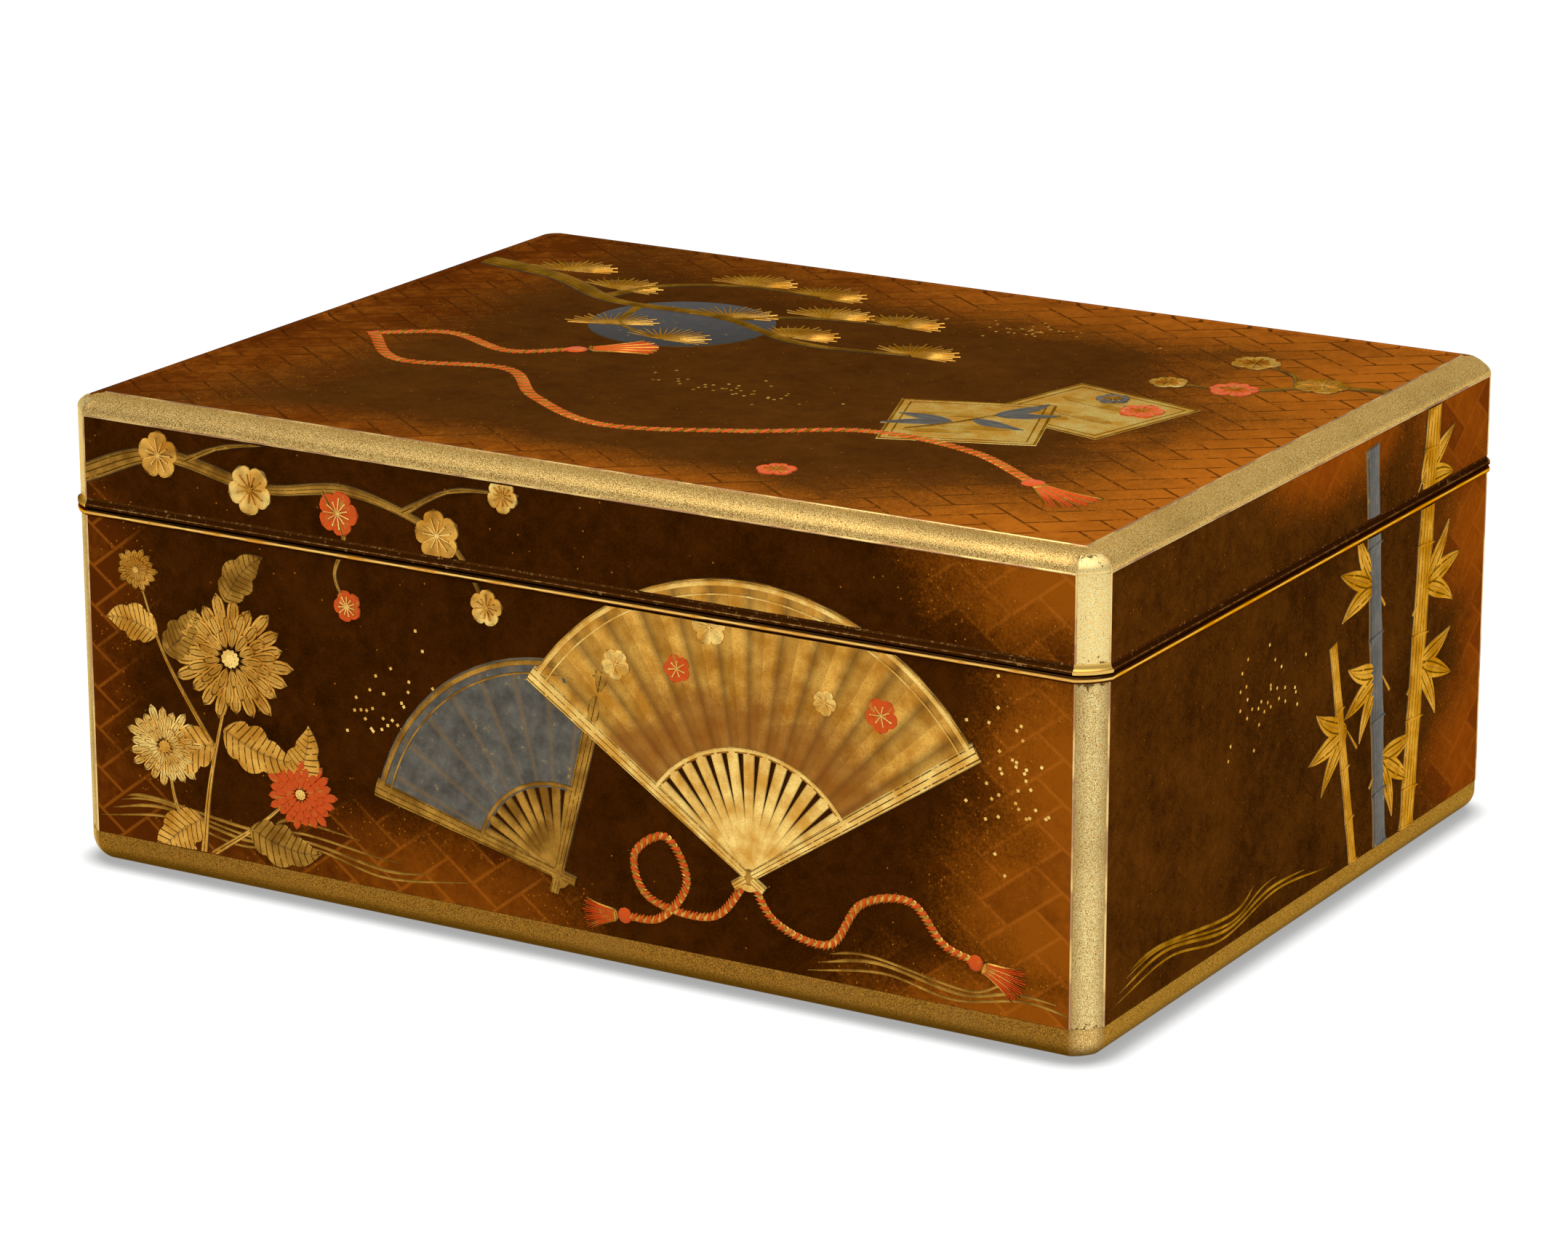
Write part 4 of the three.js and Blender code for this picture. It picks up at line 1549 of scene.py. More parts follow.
@dataclass(frozen=True)
class Chrysanthemum:
    """A full chrysanthemum: rings of cupped petals round a knob of small beads."""

    centre: tuple[float, float]
    radius: float
    finish: Finish = RAISED_GOLD
    heart: Finish = PALE_GOLD
    turn: float = 0.0
    lean: float = 0.88
    rings: tuple[tuple[int, float, float], ...] = ((21, 1.0, 0.4), (17, 0.76, 0.3), (13, 0.52, 0.16))
    base: float = 0.15

    def draw(self, work: GoldWork) -> None:
        """Lays the rings from the outside in, each on the one before."""
        for level, (count, reach, root) in enumerate(self.rings):
            half_width = math.pi * reach * self.radius / count * 0.62
            for number in range(count):
                angle = self.turn + 360 * (number + 0.5 * (level % 2)) / count
                spread = 1 - 0.07 * ((number * 5) % 3)
                spine = ray((0, 0), root * self.radius, reach * self.radius * spread, angle, 6)
                spine = [Vector(self.centre) + Vector((p.x, p.y * self.lean)) for p in spine]
                cut = Blade(petal, Section.CUPPED, 0.3, lines=2, flare=0.2)
                work.blade(self.finish, spine, half_width, cut, self.base + 0.2 * level)
        for ring, (count, share) in enumerate(((1, 0.0), (6, 0.055), (11, 0.11))):
            for number in range(count):
                spot = polar((0, 0), share * self.radius, 360 * number / count + 20 * ring)
                spot = Vector(self.centre) + Vector((spot.x, spot.y * self.lean))
                work.bead(self.heart, spot, 0.04 * self.radius, 0.28, self.base + 0.55)


@dataclass(frozen=True)
class Leaf:
    """One leaf with a creased midrib and cut side veins."""

    root: tuple[float, float]
    length: float
    turn: float
    half_width: float
    finish: Finish = RAISED_GOLD
    outline: Outline = leaf
    bend: float = 12.0
    lines: float = 0.0
    veins: float = 11.0
    rise: float = 0.5

    def draw(self, work: GoldWork) -> None:
        """Lays the leaf along a bent ray."""
        spine = ray(self.root, 0, self.length, self.turn, 24, self.bend)
        cut = Blade(self.outline, Section.CREASED, self.rise, self.lines, across=12, veins=self.veins)
        work.blade(self.finish, spine, self.half_width, cut)


@dataclass(frozen=True)
class Blossom:
    """A plum blossom: five round petals, stamens and a bead."""

    centre: tuple[float, float]
    radius: float = 8.5
    finish: Finish = RAISED_GOLD
    heart: Finish = PALE_GOLD
    turn: float = 18.0
    base: float = 0.25
    depth: float = 1.0
    petals: int = 5
    stamens: int = 11

    def draw(self, work: GoldWork) -> None:
        """Lays petals that overlap in turn, then the stamens."""
        for number in range(self.petals):
            angle = self.turn + 360 * number / self.petals
            spine = ray(self.centre, 0.08 * self.radius, self.radius, angle, 8)
            cut = Blade(petal, Section.CUPPED, 0.42 * self.depth, across=6, flare=0.25)
            work.blade(self.finish, spine, 0.44 * self.radius, cut, self.base + 0.05 * (number % 2))
        upon = self.base + 0.45 * self.depth
        thin = Blade(bar, Section.FLAT, 0.2 * self.depth, across=2, flare=0)
        for number in range(self.stamens):
            angle = self.turn + 360 * (number + 0.5) / self.stamens
            end = (0.5 + 0.08 * (number % 3)) * self.radius
            thread = ray(self.centre, 0.1 * self.radius, end, angle, 2)
            work.blade(self.heart, thread, 0.2, thin, upon)
            work.bead(self.heart, thread[-1], 0.42, 0.3 * self.depth, upon)
        work.bead(self.heart, self.centre, 0.12 * self.radius, 0.3 * self.depth, upon)


@dataclass(frozen=True)
class Branch:
    """A branch, twig or stem that thins to its tip."""

    route: tuple[tuple[float, float], ...]
    half_width: float
    finish: Finish = BROWN_GOLD
    lines: float = 3.0
    rise: float = 0.55
    knots: float = 0.18

    def draw(self, work: GoldWork) -> None:
        """Lays the branch with swellings along it."""
        spine = curve(self.route, 8 * len(self.route))
        cut = Blade(self.outline, Section.ROUND, self.rise, self.lines)
        work.blade(self.finish, spine, self.half_width, cut)

    def outline(self, s: float) -> float:
        """Thins the branch, with knots on the way."""
        swelling = self.knots * math.sin(19 * s) * math.sin(7.3 * s + 1)
        return (1 - 0.75 * s) * (1 + swelling)


@dataclass(frozen=True)
class PineTuft:
    """An umbrella of pine needles over a pad of gold powder."""

    centre: tuple[float, float]
    radius: float = 17.0
    turn: float = 90.0
    finish: Finish = RAISED_GOLD
    pad: Finish = BROWN_GOLD
    spread: float = 86.0
    needles: int = 19

    def draw(self, work: GoldWork) -> None:
        """Lays the pad, then needles in two lengths, then the buds at the root."""
        reach = self.radius * 0.8
        rim = [polar(self.centre, reach, self.turn + self.spread * (1 - i / 9)) for i in range(19)]
        work.plate(self.pad, [Vector(self.centre), *rim], 0.15, 0.1)
        for number in range(self.needles):
            angle = self.turn - self.spread + 2 * self.spread * number / (self.needles - 1)
            end = self.radius * (1 if number % 2 else 0.88)
            spine = ray(self.centre, 1.5, end, angle, 2)
            cut = Blade(tailed, Section.ROUND, 0.4, across=2, flare=0.08)
            work.blade(self.finish, spine, 0.62, cut, 0.15)
        for share in (-0.5, 0, 0.5):
            spot = polar(self.centre, 1.3, self.turn + share * self.spread * 1.4)
            work.bead(self.finish, spot, 1.1, 0.75)


@dataclass(frozen=True)
class Culm:
    """A bamboo culm: jointed lengths with a double ring at each node."""

    root: tuple[float, float]
    turn: float
    joints: tuple[float, ...]
    half_width: float
    finish: Finish

    def draw(self, work: GoldWork) -> None:
        """Lays each length, with a ring over its lower end."""
        start = 0.0
        for length in self.joints:
            spine = ray(self.root, start + 0.4, start + length - 0.4, self.turn, 10)
            cut = Blade(self.outline, Section.ROUND, 0.6, lines=5, across=8)
            work.blade(self.finish, spine, self.half_width, cut)
            ring = polar(self.root, start, self.turn)
            across = ray(ring, -self.half_width * 1.12, self.half_width * 1.12, self.turn + 90, 4)
            cut = Blade(brushed, Section.ROUND, 0.85, across=4, flare=0.15)
            work.blade(self.finish, across, 0.8, cut)
            start += length

    @staticmethod
    def outline(s: float) -> float:
        """Draws a length in slightly between its nodes."""
        return 0.9 + 0.1 * (2 * s - 1) ** 4


@dataclass(frozen=True)
class Cord:
    """A twisted cord of two strands that ends in a tassel."""

    route: tuple[tuple[float, float], ...]
    radius: float = 1.5
    strands: tuple[Finish, Finish] = (VERMILION, RAISED_GOLD)
    tassel: float = 15.0
    fringe: int = 17
    base: float = 0.15

    def draw(self, work: GoldWork) -> None:
        """Lays slanting lobes along the route, then the tassel at its end."""
        run = curve(self.route, 24 * len(self.route))
        cut = Blade(petal, Section.ROUND, 0.5, across=2, flare=0.08)
        for number, (spot, heading) in enumerate(walked(run, self.radius * 0.95)):
            slant = Matrix.Rotation(math.radians(52), 2) @ heading
            ends = [spot + slant * self.radius * share * 1.25 for share in (-1.0, -0.4, 0.2, 0.7, 1.0)]
            work.blade(self.strands[number % 2], ends, self.radius * 0.62, cut, self.base)
        if self.tassel:
            self.hang(work, run)

    def hang(self, work: GoldWork, run: Sequence[Vector]) -> None:
        """Ends the cord in a knot, a band and a fringe."""
        end, heading = run[-1], (run[-1] - run[-2]).normalized()
        turn = math.degrees(math.atan2(heading.y, heading.x))
        work.bead(self.strands[0], end, self.radius * 1.9, 0.75, self.base)
        collar = end + heading * self.radius * 2.4
        for number in range(self.fringe):
            share = 2 * number / (self.fringe - 1) - 1
            root = collar + Vector((-heading.y, heading.x)) * share * self.radius * 1.1
            length = self.tassel * (1 - 0.12 * share * share - 0.06 * (number % 2))
            thread = ray(root, 0, length, turn + 15 * share, 4, 6 * share)
            cut = Blade(tailed, Section.ROUND, 0.45, across=2, flare=0.08)
            work.blade(self.strands[number % 4 == 0], thread, 0.5, cut, self.base)
        band = ray(collar, -self.radius * 1.35, self.radius * 1.35, turn + 90, 4)
        cut = Blade(brushed, Section.ROUND, 0.8, lines=2)
        work.blade(self.strands[1], band, 1.0, cut, self.base)


@dataclass(frozen=True)
class GiltPaper:
    """A square sheet of gilt paper: a raised plate in a double frame, with bands of mist."""

    centre: tuple[float, float]
    half_width: float
    turn: float
    finish: Finish
    mist: Finish
    frame: Finish = BROWN_GOLD
    rise: float = 0.3
    mists: tuple[tuple[float, float, float], ...] = (
        (-0.5, -0.75, 0.1),
        (-0.28, -0.3, 0.62),
        (0.3, -0.7, 0.3),
    )

    def draw(self, work: GoldWork) -> None:
        """Lays the sheet, the frame's lines and the mist."""
        corners = [self.spot(u, v) for u, v in ((-1, -1), (1, -1), (1, 1), (-1, 1))]
        work.plate(self.finish, corners, self.rise)
        line = Blade(bar, Section.ROUND, 0.14, across=2, flare=0.1)
        for inset, half_width in ((0.97, 0.5), (0.86, 0.3)):
            frame = [self.spot(inset * u, inset * v) for u, v in ((-1, -1), (1, -1), (1, 1), (-1, 1))]
            for start, end in zip(frame, frame[1:] + frame[:1]):
                run = [start.lerp(end, i / 6) for i in range(7)]
                work.blade(self.frame, run, half_width, line, self.rise)
        for height, start, end in self.mists:
            run = [self.spot(start + (end - start) * i / 12, height) for i in range(13)]
            cut = Blade(brushed, Section.ROUND, 0.16, across=4, flare=0.15)
            work.blade(self.mist, run, 0.09 * self.half_width, cut, self.rise)

    def spot(self, u: float, v: float) -> Vector:
        """Finds a place on the sheet from its own halves across and up."""
        flat = Vector((u, v)) * self.half_width
        return Vector(self.centre) + Matrix.Rotation(math.radians(self.turn), 2) @ flat


@dataclass(frozen=True)
class Moon:
    """A full moon: a flat round plate."""

    centre: tuple[float, float]
    radius: float
    corners: int = 48

    def draw(self, work: GoldWork) -> None:
        """Lays the plate."""
        rim = [polar(self.centre, self.radius, 360 * i / self.corners) for i in range(self.corners)]
        work.plate(DARK_PEWTER, rim, 0.3)


@dataclass(frozen=True)
class Stream:
    """Running water: lines side by side that swell and curl."""

    route: tuple[tuple[float, float], ...]
    count: int = 5
    spacing: float = 2.6
    finish: Finish = BROWN_GOLD

    def draw(self, work: GoldWork) -> None:
        """Lays each line a little shorter than the one below it."""
        for number in range(self.count):
            lift = number * self.spacing
            points = [
                (u + 2.5 * number * (-1) ** i, v + lift * (1 + 0.25 * math.sin(1.3 * i + number)))
                for i, (u, v) in enumerate(self.route)
            ]
            spine = curve(points, 16 * len(points))
            keep = len(spine) - 9 * number
            half_width = 0.55 if number % 2 else 0.4
            cut = Blade(brushed, Section.ROUND, 0.14, across=2, flare=0.1)
            work.blade(self.finish, spine[2 * number : keep], half_width, cut)


@dataclass(frozen=True)
class CutGold:
    """Small squares of cut gold leaf, set in a drifting patch."""

    centre: tuple[float, float]
    reach: tuple[float, float]
    count: int
    seed: int
    size: float = 0.75
    finish: Finish = PALE_GOLD

    def draw(self, work: GoldWork) -> None:
        """Scatters the squares, thickest in the middle."""
        chance = random.Random(self.seed)
        for _ in range(self.count):
            u = self.centre[0] + self.reach[0] * chance.gauss(0, 0.5)
            v = self.centre[1] + self.reach[1] * chance.gauss(0, 0.5)
            turn = chance.uniform(0, 90)
            corners = [polar((u, v), self.size, turn + 90 * i) for i in range(4)]
            work.plate(self.finish, corners, 0.1, 0.02)


Flora = Chrysanthemum | Leaf | Blossom | Branch | PineTuft | Culm
Motif = Flora | FoldingFan | Cord | GiltPaper | Moon | Stream | CutGold


@dataclass
class Decoration:
    """The raised gold work on the five shown faces."""

    box: BoxWork
    clear: float = 0.3
    top_margin: float = 11.0

    def wall(self, name: str, out_x: int, out_y: int) -> Board:
        """Sets up a wall's board, with its room below and above the seam.

        Args:
            name: The board's name.
            out_x: How far the wall faces along X, as -1, 0 or 1.
            out_y: How far it faces along Y.

        Returns:
            The board.
        """
        plan, heights, clear = self.box.plan, self.box.heights, self.clear
        bands = {
            "base": (heights["bottom_band"] + clear, heights["base_wall"] - clear),
            "lid": (heights["lid_wall"] + clear, heights["top_band"] - clear),
        }
        origin = Vector((out_x * plan.half_length, out_y * plan.half_depth, 0))
        half_width = (plan.half_length if out_y else plan.half_depth) - plan.corner_cut - clear
        return Board(name, origin, Vector((-out_y, out_x, 0)), Vector((0, 0, 1)), half_width, bands, 1.0)

    def lay(self, board: Board, pieces: dict[str, Sequence[Motif]]) -> None:
        """Draws the motifs of each piece on a board and fixes them."""
        work = GoldWork(board)
        for piece, motifs in pieces.items():
            work.piece = piece
            for motif in motifs:
                motif.draw(work)
        work.settle()

    def front(self) -> None:
        """Two fans, a chrysanthemum clump by running water, and a plum branch across the seam."""
        clump = (
            Branch(((-146, 12), (-142, 40), (-132, 80)), 1.3, RAISED_GOLD, 1, 0.35, 0),
            Branch(((-150, 12), (-158, 30), (-160, 48)), 1.1, RAISED_GOLD, 1, 0.35, 0),
            Branch(((-142, 12), (-122, 26), (-106, 40)), 1.1, RAISED_GOLD, 1, 0.35, 0),
            Branch(((-140, 50), (-160, 80), (-170, 106)), 1.0, RAISED_GOLD, 1, 0.35, 0),
            Leaf((-140, 52), 30, 195, 9, outline=lobed),
            Leaf((-136, 58), 30, -25, 9, outline=lobed),
            Leaf((-146, 24), 26, 210, 8, outline=lobed),
            Leaf((-126, 24), 30, -20, 8, BROWN_GOLD, lobed),
            Leaf((-163, 88), 22, 160, 7, outline=lobed),
            Leaf((-160, 82), 22, 40, 7, BROWN_GOLD, lobed),
            Leaf((-108, 42), 24, 60, 7, outline=lobed),
            Leaf((-134, 104), 24, 60, 7, BROWN_GOLD, lobed, -12),
        )
        heads = (
            Chrysanthemum((-132, 84), 26),
            Chrysanthemum((-161, 48), 17, PALE_GOLD, RAISED_GOLD, 8),
            Chrysanthemum((-104, 40), 15, VERMILION, PALE_GOLD, 3),
            Chrysanthemum((-171, 110), 9, rings=((15, 1.0, 0.2), (11, 0.6, 0.1))),
        )
        spray = (
            Branch(((-196, 140), (-160, 152), (-118, 146), (-80, 150), (-42, 138), (-26, 116)), 3.0),
            Branch(((-150, 151), (-134, 158), (-112, 162)), 1.2, BROWN_GOLD, 1),
            Branch(((-92, 149), (-84, 134), (-88, 120), (-82, 108)), 1.2, BROWN_GOLD, 1),
            Branch(((-60, 146), (-40, 156), (-14, 158)), 1.2, BROWN_GOLD, 1),
            Blossom((-160, 152), 8.5, RAISED_GOLD),
            Blossom((-122, 145), 9, PALE_GOLD, RAISED_GOLD, 50),
            Blossom((-86, 142), 8, VERMILION, PALE_GOLD, 0),
            Blossom((-46, 140), 9, RAISED_GOLD, PALE_GOLD, 30),
            Blossom((-20, 157), 6, PALE_GOLD, RAISED_GOLD, 60),
            Blossom((-27, 118), 6.5, PALE_GOLD, RAISED_GOLD, 10),
            Blossom((-83, 110), 5.5, VERMILION, PALE_GOLD, 40),
        )
        fans = (
            FoldingFan((0, 30), (76, 166), (30, 74), 16, 9, PEWTER, BROWN_GOLD, 0.0),
            FoldingFan((74, 42), (34, 146)),
        )
        on_leaf = tuple(
            Blossom(tuple(polar((74, 42), reach, angle)), size, finish, PALE_GOLD, angle, 0.6, 0.6, stamens=7)
            for reach, angle, size, finish in (
                (80, 52, 6, VERMILION),
                (70, 66, 4.5, PALE_GOLD),
                (84, 100, 6.5, PALE_GOLD),
                (72, 112, 5, VERMILION),
                (82, 128, 5.5, PALE_GOLD),
            )
        )
        cords = (
            Cord(((74, 42), (84, 28), (104, 24), (116, 40), (134, 44), (146, 32), (158, 28))),
            Cord(((74, 42), (60, 26), (36, 28), (30, 42), (42, 50), (50, 36), (40, 22), (26, 20)), tassel=13),
        )
        water = (
            Stream(((-190, 18), (-160, 22), (-130, 17), (-100, 21), (-70, 16), (-36, 20)), 4),
            Stream(((96, 14), (124, 18), (150, 14), (176, 18), (196, 15)), 3),
        )
        dust = (CutGold((-60, 76), (26, 18), 44, 3), CutGold((170, 92), (16, 26), 34, 4))
        pieces = {
            "water": water,
            "cut_gold": dust,
            "clump": clump + heads,
            "plum": spray,
            "fans": fans + on_leaf,
            "cords": cords,
        }
        self.lay(self.wall("front", 0, -1), pieces)

    def right(self) -> None:
        """Bamboo in pewter and gold that crosses the seam."""
        culms = (
            Culm((62, 12), 96, (20, 27, 31, 33, 36), 5.2, PEWTER),
            Culm((84, 12), 85, (14, 25, 30, 32, 34, 30), 6.4, RAISED_GOLD),
            Culm((40, 12), 104, (17, 20, 23, 26), 3.2, RAISED_GOLD),
        )
        groups = (
            (58, 76, 200),
            (52, 108, 160),
            (90, 70, -20),
            (93, 98, 10),
            (88, 136, 30),
            (32, 62, 190),
            (60, 44, -30),
        )
        leaves = tuple(
            Leaf(
                (u, v), 30 - 3 * abs(k), turn + 27 * k, 3.6, RAISED_GOLD, bend=8 * k, lines=2, veins=0
            )
            for u, v, turn in groups
            for k in (-1, 0, 1)
        )
        twigs = tuple(
            Branch(((u - 9 * math.cos(math.radians(turn)), v - 9), (u, v)), 0.7, RAISED_GOLD, 0, 0.35, 0)
            for u, v, turn in groups
        )
        water = (Stream(((-140, 16), (-100, 21), (-60, 15), (-20, 20), (20, 16)), 4),)
        dust = (CutGold((-40, 90), (30, 16), 30, 5),)
        pieces = {"bamboo": culms + twigs + leaves, "water": water, "cut_gold": dust}
        self.lay(self.wall("right", 1, 0), pieces)

    def left(self) -> None:
        """A chrysanthemum spray and running water."""
        spray = (
            Branch(((150, 16), (110, 50), (60, 70), (20, 104)), 1.6, RAISED_GOLD, 1, 0.4, 0),
            Branch(((96, 56), (60, 40), (30, 42)), 1.2, RAISED_GOLD, 1, 0.4, 0),
            Leaf((110, 50), 30, 100, 9, outline=lobed),
            Leaf((84, 62), 28, -60, 9, BROWN_GOLD, lobed),
            Leaf((56, 72), 26, 80, 8, outline=lobed),
            Leaf((50, 40), 22, -80, 7, BROWN_GOLD, lobed),
            Chrysanthemum((14, 110), 23),
            Chrysanthemum((24, 44), 17, PALE_GOLD, RAISED_GOLD, 5),
            Chrysanthemum((96, 100), 13, VERMILION, PALE_GOLD),
            Chrysanthemum((62, 96), 9, rings=((15, 1.0, 0.2), (11, 0.6, 0.1))),
        )
        water = (Stream(((-130, 18), (-90, 24), (-50, 17), (-10, 22), (30, 16)), 5),)
        dust = (CutGold((-50, 90), (30, 22), 40, 6),)
        self.lay(self.wall("left", -1, 0), {"spray": spray, "water": water, "cut_gold": dust})

    def back(self) -> None:
        """A plum branch over running water."""
        spray = (
            Branch(((-196, 40), (-150, 62), (-110, 96), (-50, 104), (0, 140), (40, 152)), 4.2),
            Branch(((-120, 90), (-124, 120), (-108, 150)), 1.8),
            Branch(((-60, 104), (-20, 92), (20, 98), (52, 84)), 1.8),
            Branch(((-150, 62), (-110, 52), (-80, 60)), 1.4),
            Blossom((-150, 66), 10, RAISED_GOLD),
            Blossom((-112, 98), 9, VERMILION, PALE_GOLD, 40),
            Blossom((-107, 148), 8, PALE_GOLD, RAISED_GOLD),
            Blossom((-78, 60), 8, PALE_GOLD, RAISED_GOLD, 50),
            Blossom((-50, 108), 10, PALE_GOLD, RAISED_GOLD, 10),
            Blossom((-16, 94), 8, RAISED_GOLD, PALE_GOLD, 30),
            Blossom((22, 98), 9, VERMILION, PALE_GOLD, 60),
            Blossom((54, 84), 7, RAISED_GOLD, PALE_GOLD, 5),
            Blossom((6, 142), 8, RAISED_GOLD, PALE_GOLD, 25),
            Blossom((40, 152), 7, PALE_GOLD, RAISED_GOLD, 45),
        )
        water = (
            Stream(((0, 20), (40, 26), (80, 19), (120, 25), (160, 18), (196, 22)), 6),
            Stream(((-190, 18), (-150, 22), (-110, 17), (-70, 20)), 3),
        )
        dust = (CutGold((110, 100), (40, 24), 60, 7),)
        self.lay(self.wall("back", 0, 1), {"plum": spray, "water": water, "cut_gold": dust})

    def top(self) -> None:
        """A pewter moon behind a pine bough, gilt papers, blossoms and a long tasselled cord."""
        plan, heights = self.box.plan, self.box.heights
        depth = plan.half_depth - self.top_margin
        board = Board(
            "top",
            Vector((0, 0, heights["panel"])),
            Vector((1, 0, 0)),
            Vector((0, 1, 0)),
            plan.half_length - self.top_margin,
            {"lid": (-depth, depth)},
            heights["crown"] + self.box.ridge_proud - heights["panel"],
        )
        papers = (
            GiltPaper((112, 8), 27, -14, GILT_SHEET, PALE_GOLD, rise=0.12),
            GiltPaper((84, -26), 27, 20, GILT_SHEET, PALE_GOLD, rise=0.25),
            Branch(((70, -44), (80, -30), (88, -14)), 0.9, BROWN_GOLD, 0, 0.6, 0),
            Blossom((128, 16), 8, VERMILION, PALE_GOLD, 20, 0.35, 0.7),
            Blossom((112, 26), 6, PEWTER, PALE_GOLD, 50, 0.35, 0.7),
        )
        papers += tuple(
            Leaf((u, v), length, turn, 3.4, PEWTER, bend=8, lines=2, veins=0, rise=0.5)
            for u, v, length, turn in (
                (80, -30, 22, 165),
                (80, -30, 24, 200),
                (88, -14, 24, 60),
                (88, -14, 22, 20),
                (84, -22, 22, -20),
            )
        )
        route = ((-196, 96), (-150, 84), (-112, 62), (-66, 60), (-20, 40), (22, 44))
        bough = (
            Branch(route, 5.0, BROWN_GOLD, 4, 0.7),
            Branch(((-120, 66), (-108, 92), (-80, 106), (-50, 104)), 2.6),
            Branch(((-60, 58), (-38, 74), (-6, 80)), 2.0),
            Branch(((-100, 60), (-92, 34), (-70, 22)), 2.0),
        )
        spots = (
            (-152, 94, 100), (-122, 78, 80), (-82, 108, 95), (-50, 104, 80), (-32, 78, 95), (-4, 80, 80),
            (-62, 60, 100), (-28, 46, 85), (22, 44, 80), (-94, 30, 110), (-66, 20, 85),
        )
        tufts = tuple(PineTuft((u, v), 18, turn) for u, v, turn in spots)
        flowers = (
            Branch(((196, 84), (168, 78), (146, 60), (120, 56)), 2.6),
            Branch(((160, 72), (150, 88), (132, 96)), 1.4, BROWN_GOLD, 1),
            Blossom((166, 78), 10, RAISED_GOLD),
            Blossom((142, 58), 9, VERMILION, PALE_GOLD, 30),
            Blossom((132, 96), 9, PALE_GOLD, RAISED_GOLD, 10),
            Blossom((118, 56), 7, PALE_GOLD, RAISED_GOLD, 50),
            Blossom((60, -112), 7, VERMILION, PALE_GOLD, 40),
        )
        long_route = ((-160, -24), (-130, -52), (-90, -44), (-60, -72), (-20, -92), (24, -76), (62, -54))
        cords = (
            Cord((*long_route, (104, -60), (140, -84)), radius=2.2, tassel=26),
            Cord(((-160, -24), (-136, -10), (-104, -22), (-84, -8)), radius=2.2, tassel=24),
        )
        dust = (CutGold((-10, -30), (36, 14), 40, 8), CutGold((40, 100), (30, 14), 36, 9))
        pieces = {
            "moon": (Moon((-72, 44), 34),),
            "papers": papers,
            "pine": bough + tufts,
            "plum": flowers,
            "cords": cords,
            "cut_gold": dust,
        }
        self.lay(board, pieces)

    def build(self) -> None:
        """Lays the gold work face by face."""
        self.front()
        self.right()
        self.left()
        self.back()
        self.top()


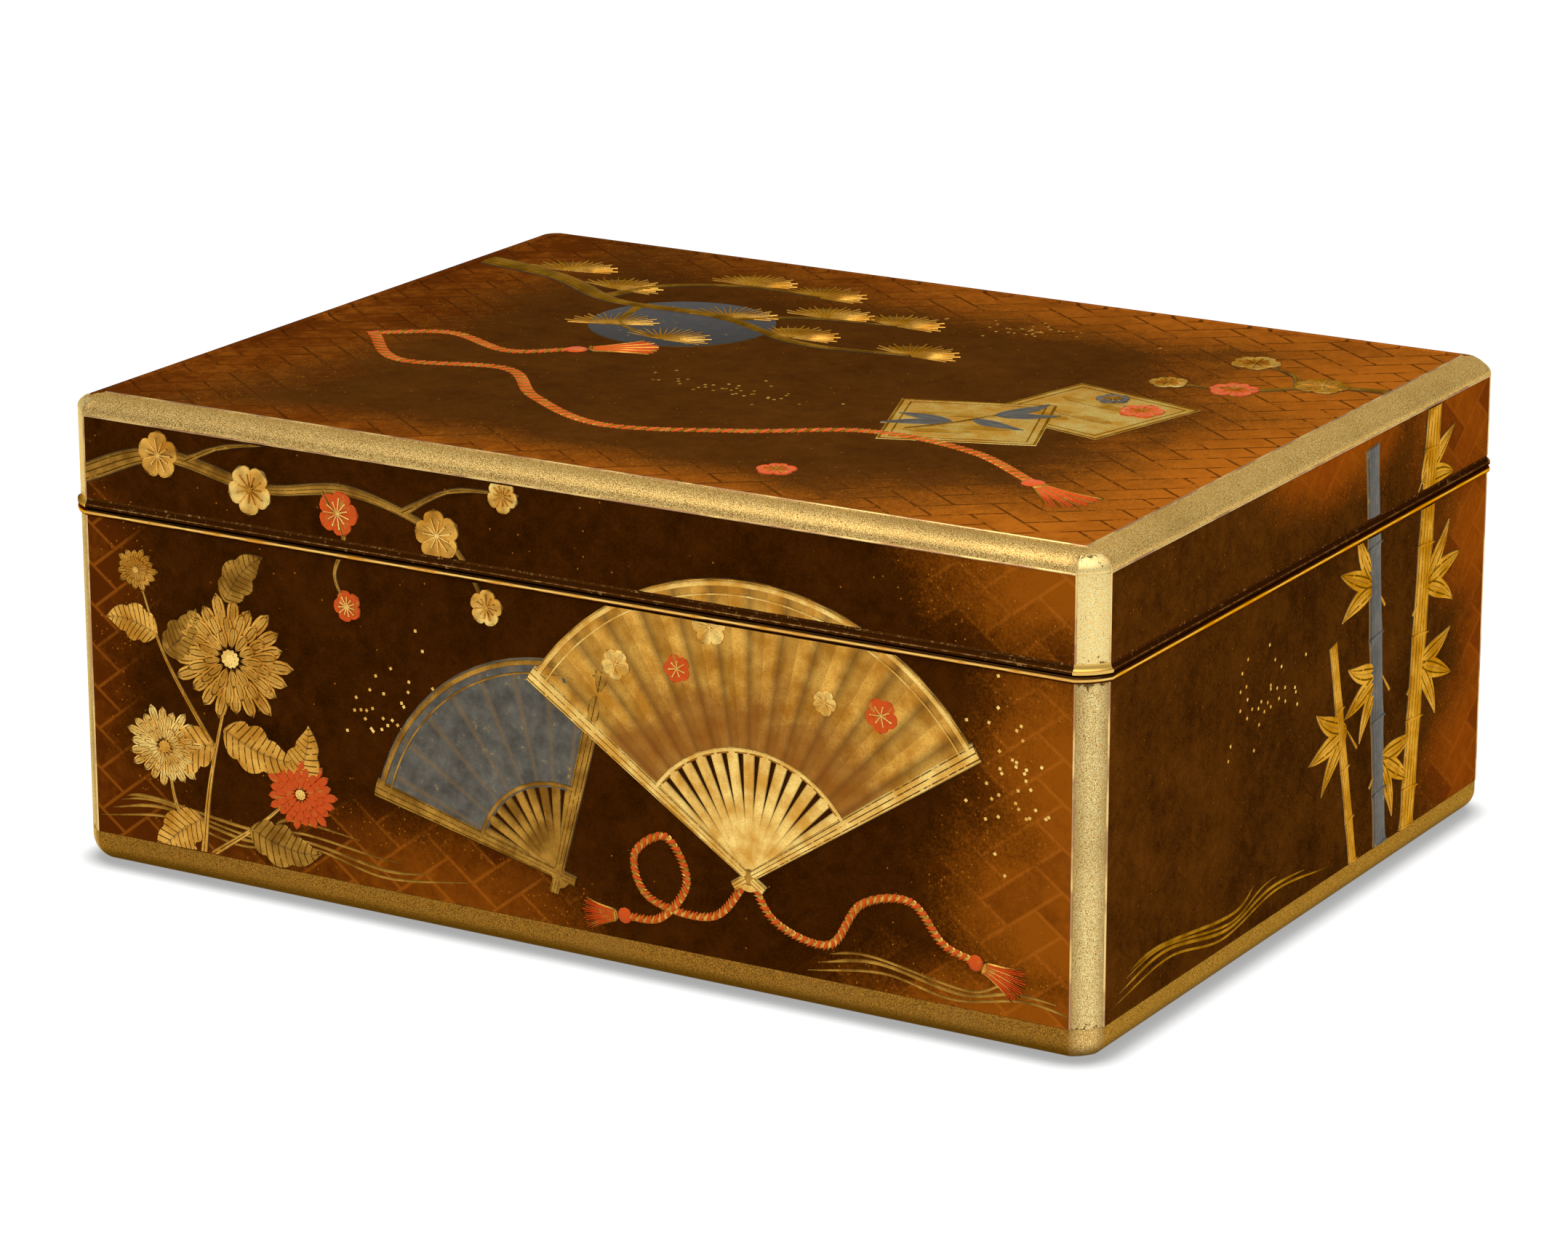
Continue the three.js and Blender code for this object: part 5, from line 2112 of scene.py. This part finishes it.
@dataclass(frozen=True)
class Studio:
    """A plain pale floor, soft light and the camera."""

    camera_place: tuple[float, float, float] = (0.9561, -1.6206, 0.6424)
    camera_tilt: float = 73.241
    camera_turn: float = 30.626
    lens: float = 128.03
    lamps: tuple[tuple[tuple[float, float, float], float, float], ...] = (
        ((0.36, -0.32, 0.78), 0.7, 2.6),
        ((-0.05, -0.38, 0.8), 0.42, 1.55),
    )
    lamp_aim: tuple[float, float, float] = (0.12, -0.1, 0.1)
    horizon: float = 0.5
    zenith: float = 0.54
    floor_reach: float = 12.0
    floor_drop: float = 0.0003

    def floor(self) -> None:
        """Lays a wide pale floor just under the box."""
        shape = bmesh.new()
        bmesh.ops.create_grid(shape, x_segments=1, y_segments=1, size=self.floor_reach)
        bmesh.ops.translate(shape, vec=(0, 0, -self.floor_drop), verts=shape.verts)
        mesh = bpy.data.meshes.new("floor")
        shape.to_mesh(mesh)
        shape.free()
        paper = bpy.data.materials.new("floor_paper")
        paper.use_nodes = True
        # What looks at the floor, straight or by reflection, sees a white with a painted close shadow, over a
        # weak share of the lamps' own shadow.
        add = partial(put, paper.node_tree)
        rays = add("LightPath")
        seen = rays.outputs["Is Camera Ray"]
        for kind in ("Is Glossy Ray", "Is Transmission Ray"):
            seen = add("Math", {0: seen, 1: rays.outputs[kind]}, operation="MAXIMUM")
        # Painted shadow: ambient occlusion within 9 mm darkens the floor beside the box.
        near = add("AmbientOcclusion", {"Distance": 0.009}, samples=8)
        painted_close_shadow = add("MapRange", {0: near.outputs["AO"], 1: 0.45, 2: 0.97, 3: 0.42, 4: 1.0})
        grey = add("Math", {0: painted_close_shadow, 1: 0.2}, operation="MULTIPLY")
        white = add("Math", {0: painted_close_shadow, 1: 0.93}, operation="MULTIPLY")
        coat = {
            "Base Color": add("Mix", {"Factor": seen, 2: 0.9, 3: grey}),
            "Roughness": 0.9,
            "Specular IOR Level": 0.0,
            "Emission Color": (1, 1, 1, 1),
            "Emission Strength": add("Math", {0: seen, 1: white}, operation="MULTIPLY"),
        }
        feed(paper.node_tree.nodes["Principled BSDF"], coat)
        mesh.materials.append(paper)
        shown("floor", mesh)

    def softboxes(self) -> None:
        """Hangs a broad lamp over the front right corner, and a smaller one that the front band mirrors."""
        for place, width, power in self.lamps:
            light = bpy.data.lights.new("softbox", "AREA")
            light.size = width
            light.energy = power
            made = shown("softbox", light)
            made.location = place
            aim = Vector(place) - Vector(self.lamp_aim)
            made.rotation_euler = aim.to_track_quat("Z", "Y").to_euler()

    def sky(self) -> None:
        """Surrounds the box with pale light that is strong overhead and faint at the horizon."""
        world = bpy.data.worlds.new("studio")
        world.use_nodes = True
        add = partial(put, world.node_tree)
        axes = add("SeparateXYZ", {0: add("TexCoord").outputs["Generated"]})
        level = add("MapRange", {0: axes.outputs["Z"], 1: 0.1, 2: 0.8, 3: self.horizon, 4: self.zenith})
        feed(world.node_tree.nodes["Background"], {"Color": (1, 1, 1, 1), "Strength": level})
        bpy.context.scene.world = world

    def build(self) -> None:
        """Sets floor, lamp, sky and camera."""
        self.floor()
        self.sky()
        self.softboxes()
        camera = bpy.data.cameras.new("camera")
        camera.lens = self.lens
        made = shown("camera", camera)
        made.location = self.camera_place
        made.rotation_euler = (math.radians(self.camera_tilt), 0, math.radians(self.camera_turn))
        bpy.context.scene.camera = made
        bpy.context.scene.view_settings.view_transform = "Standard"


def main() -> None:
    """Builds the studio and the box."""
    logging.basicConfig(level=logging.INFO, format="%(name)s: %(message)s")
    Studio().build()
    box = BoxWork()
    box.build()
    Decoration(box).build()


if __name__ == "__main__":
    main()
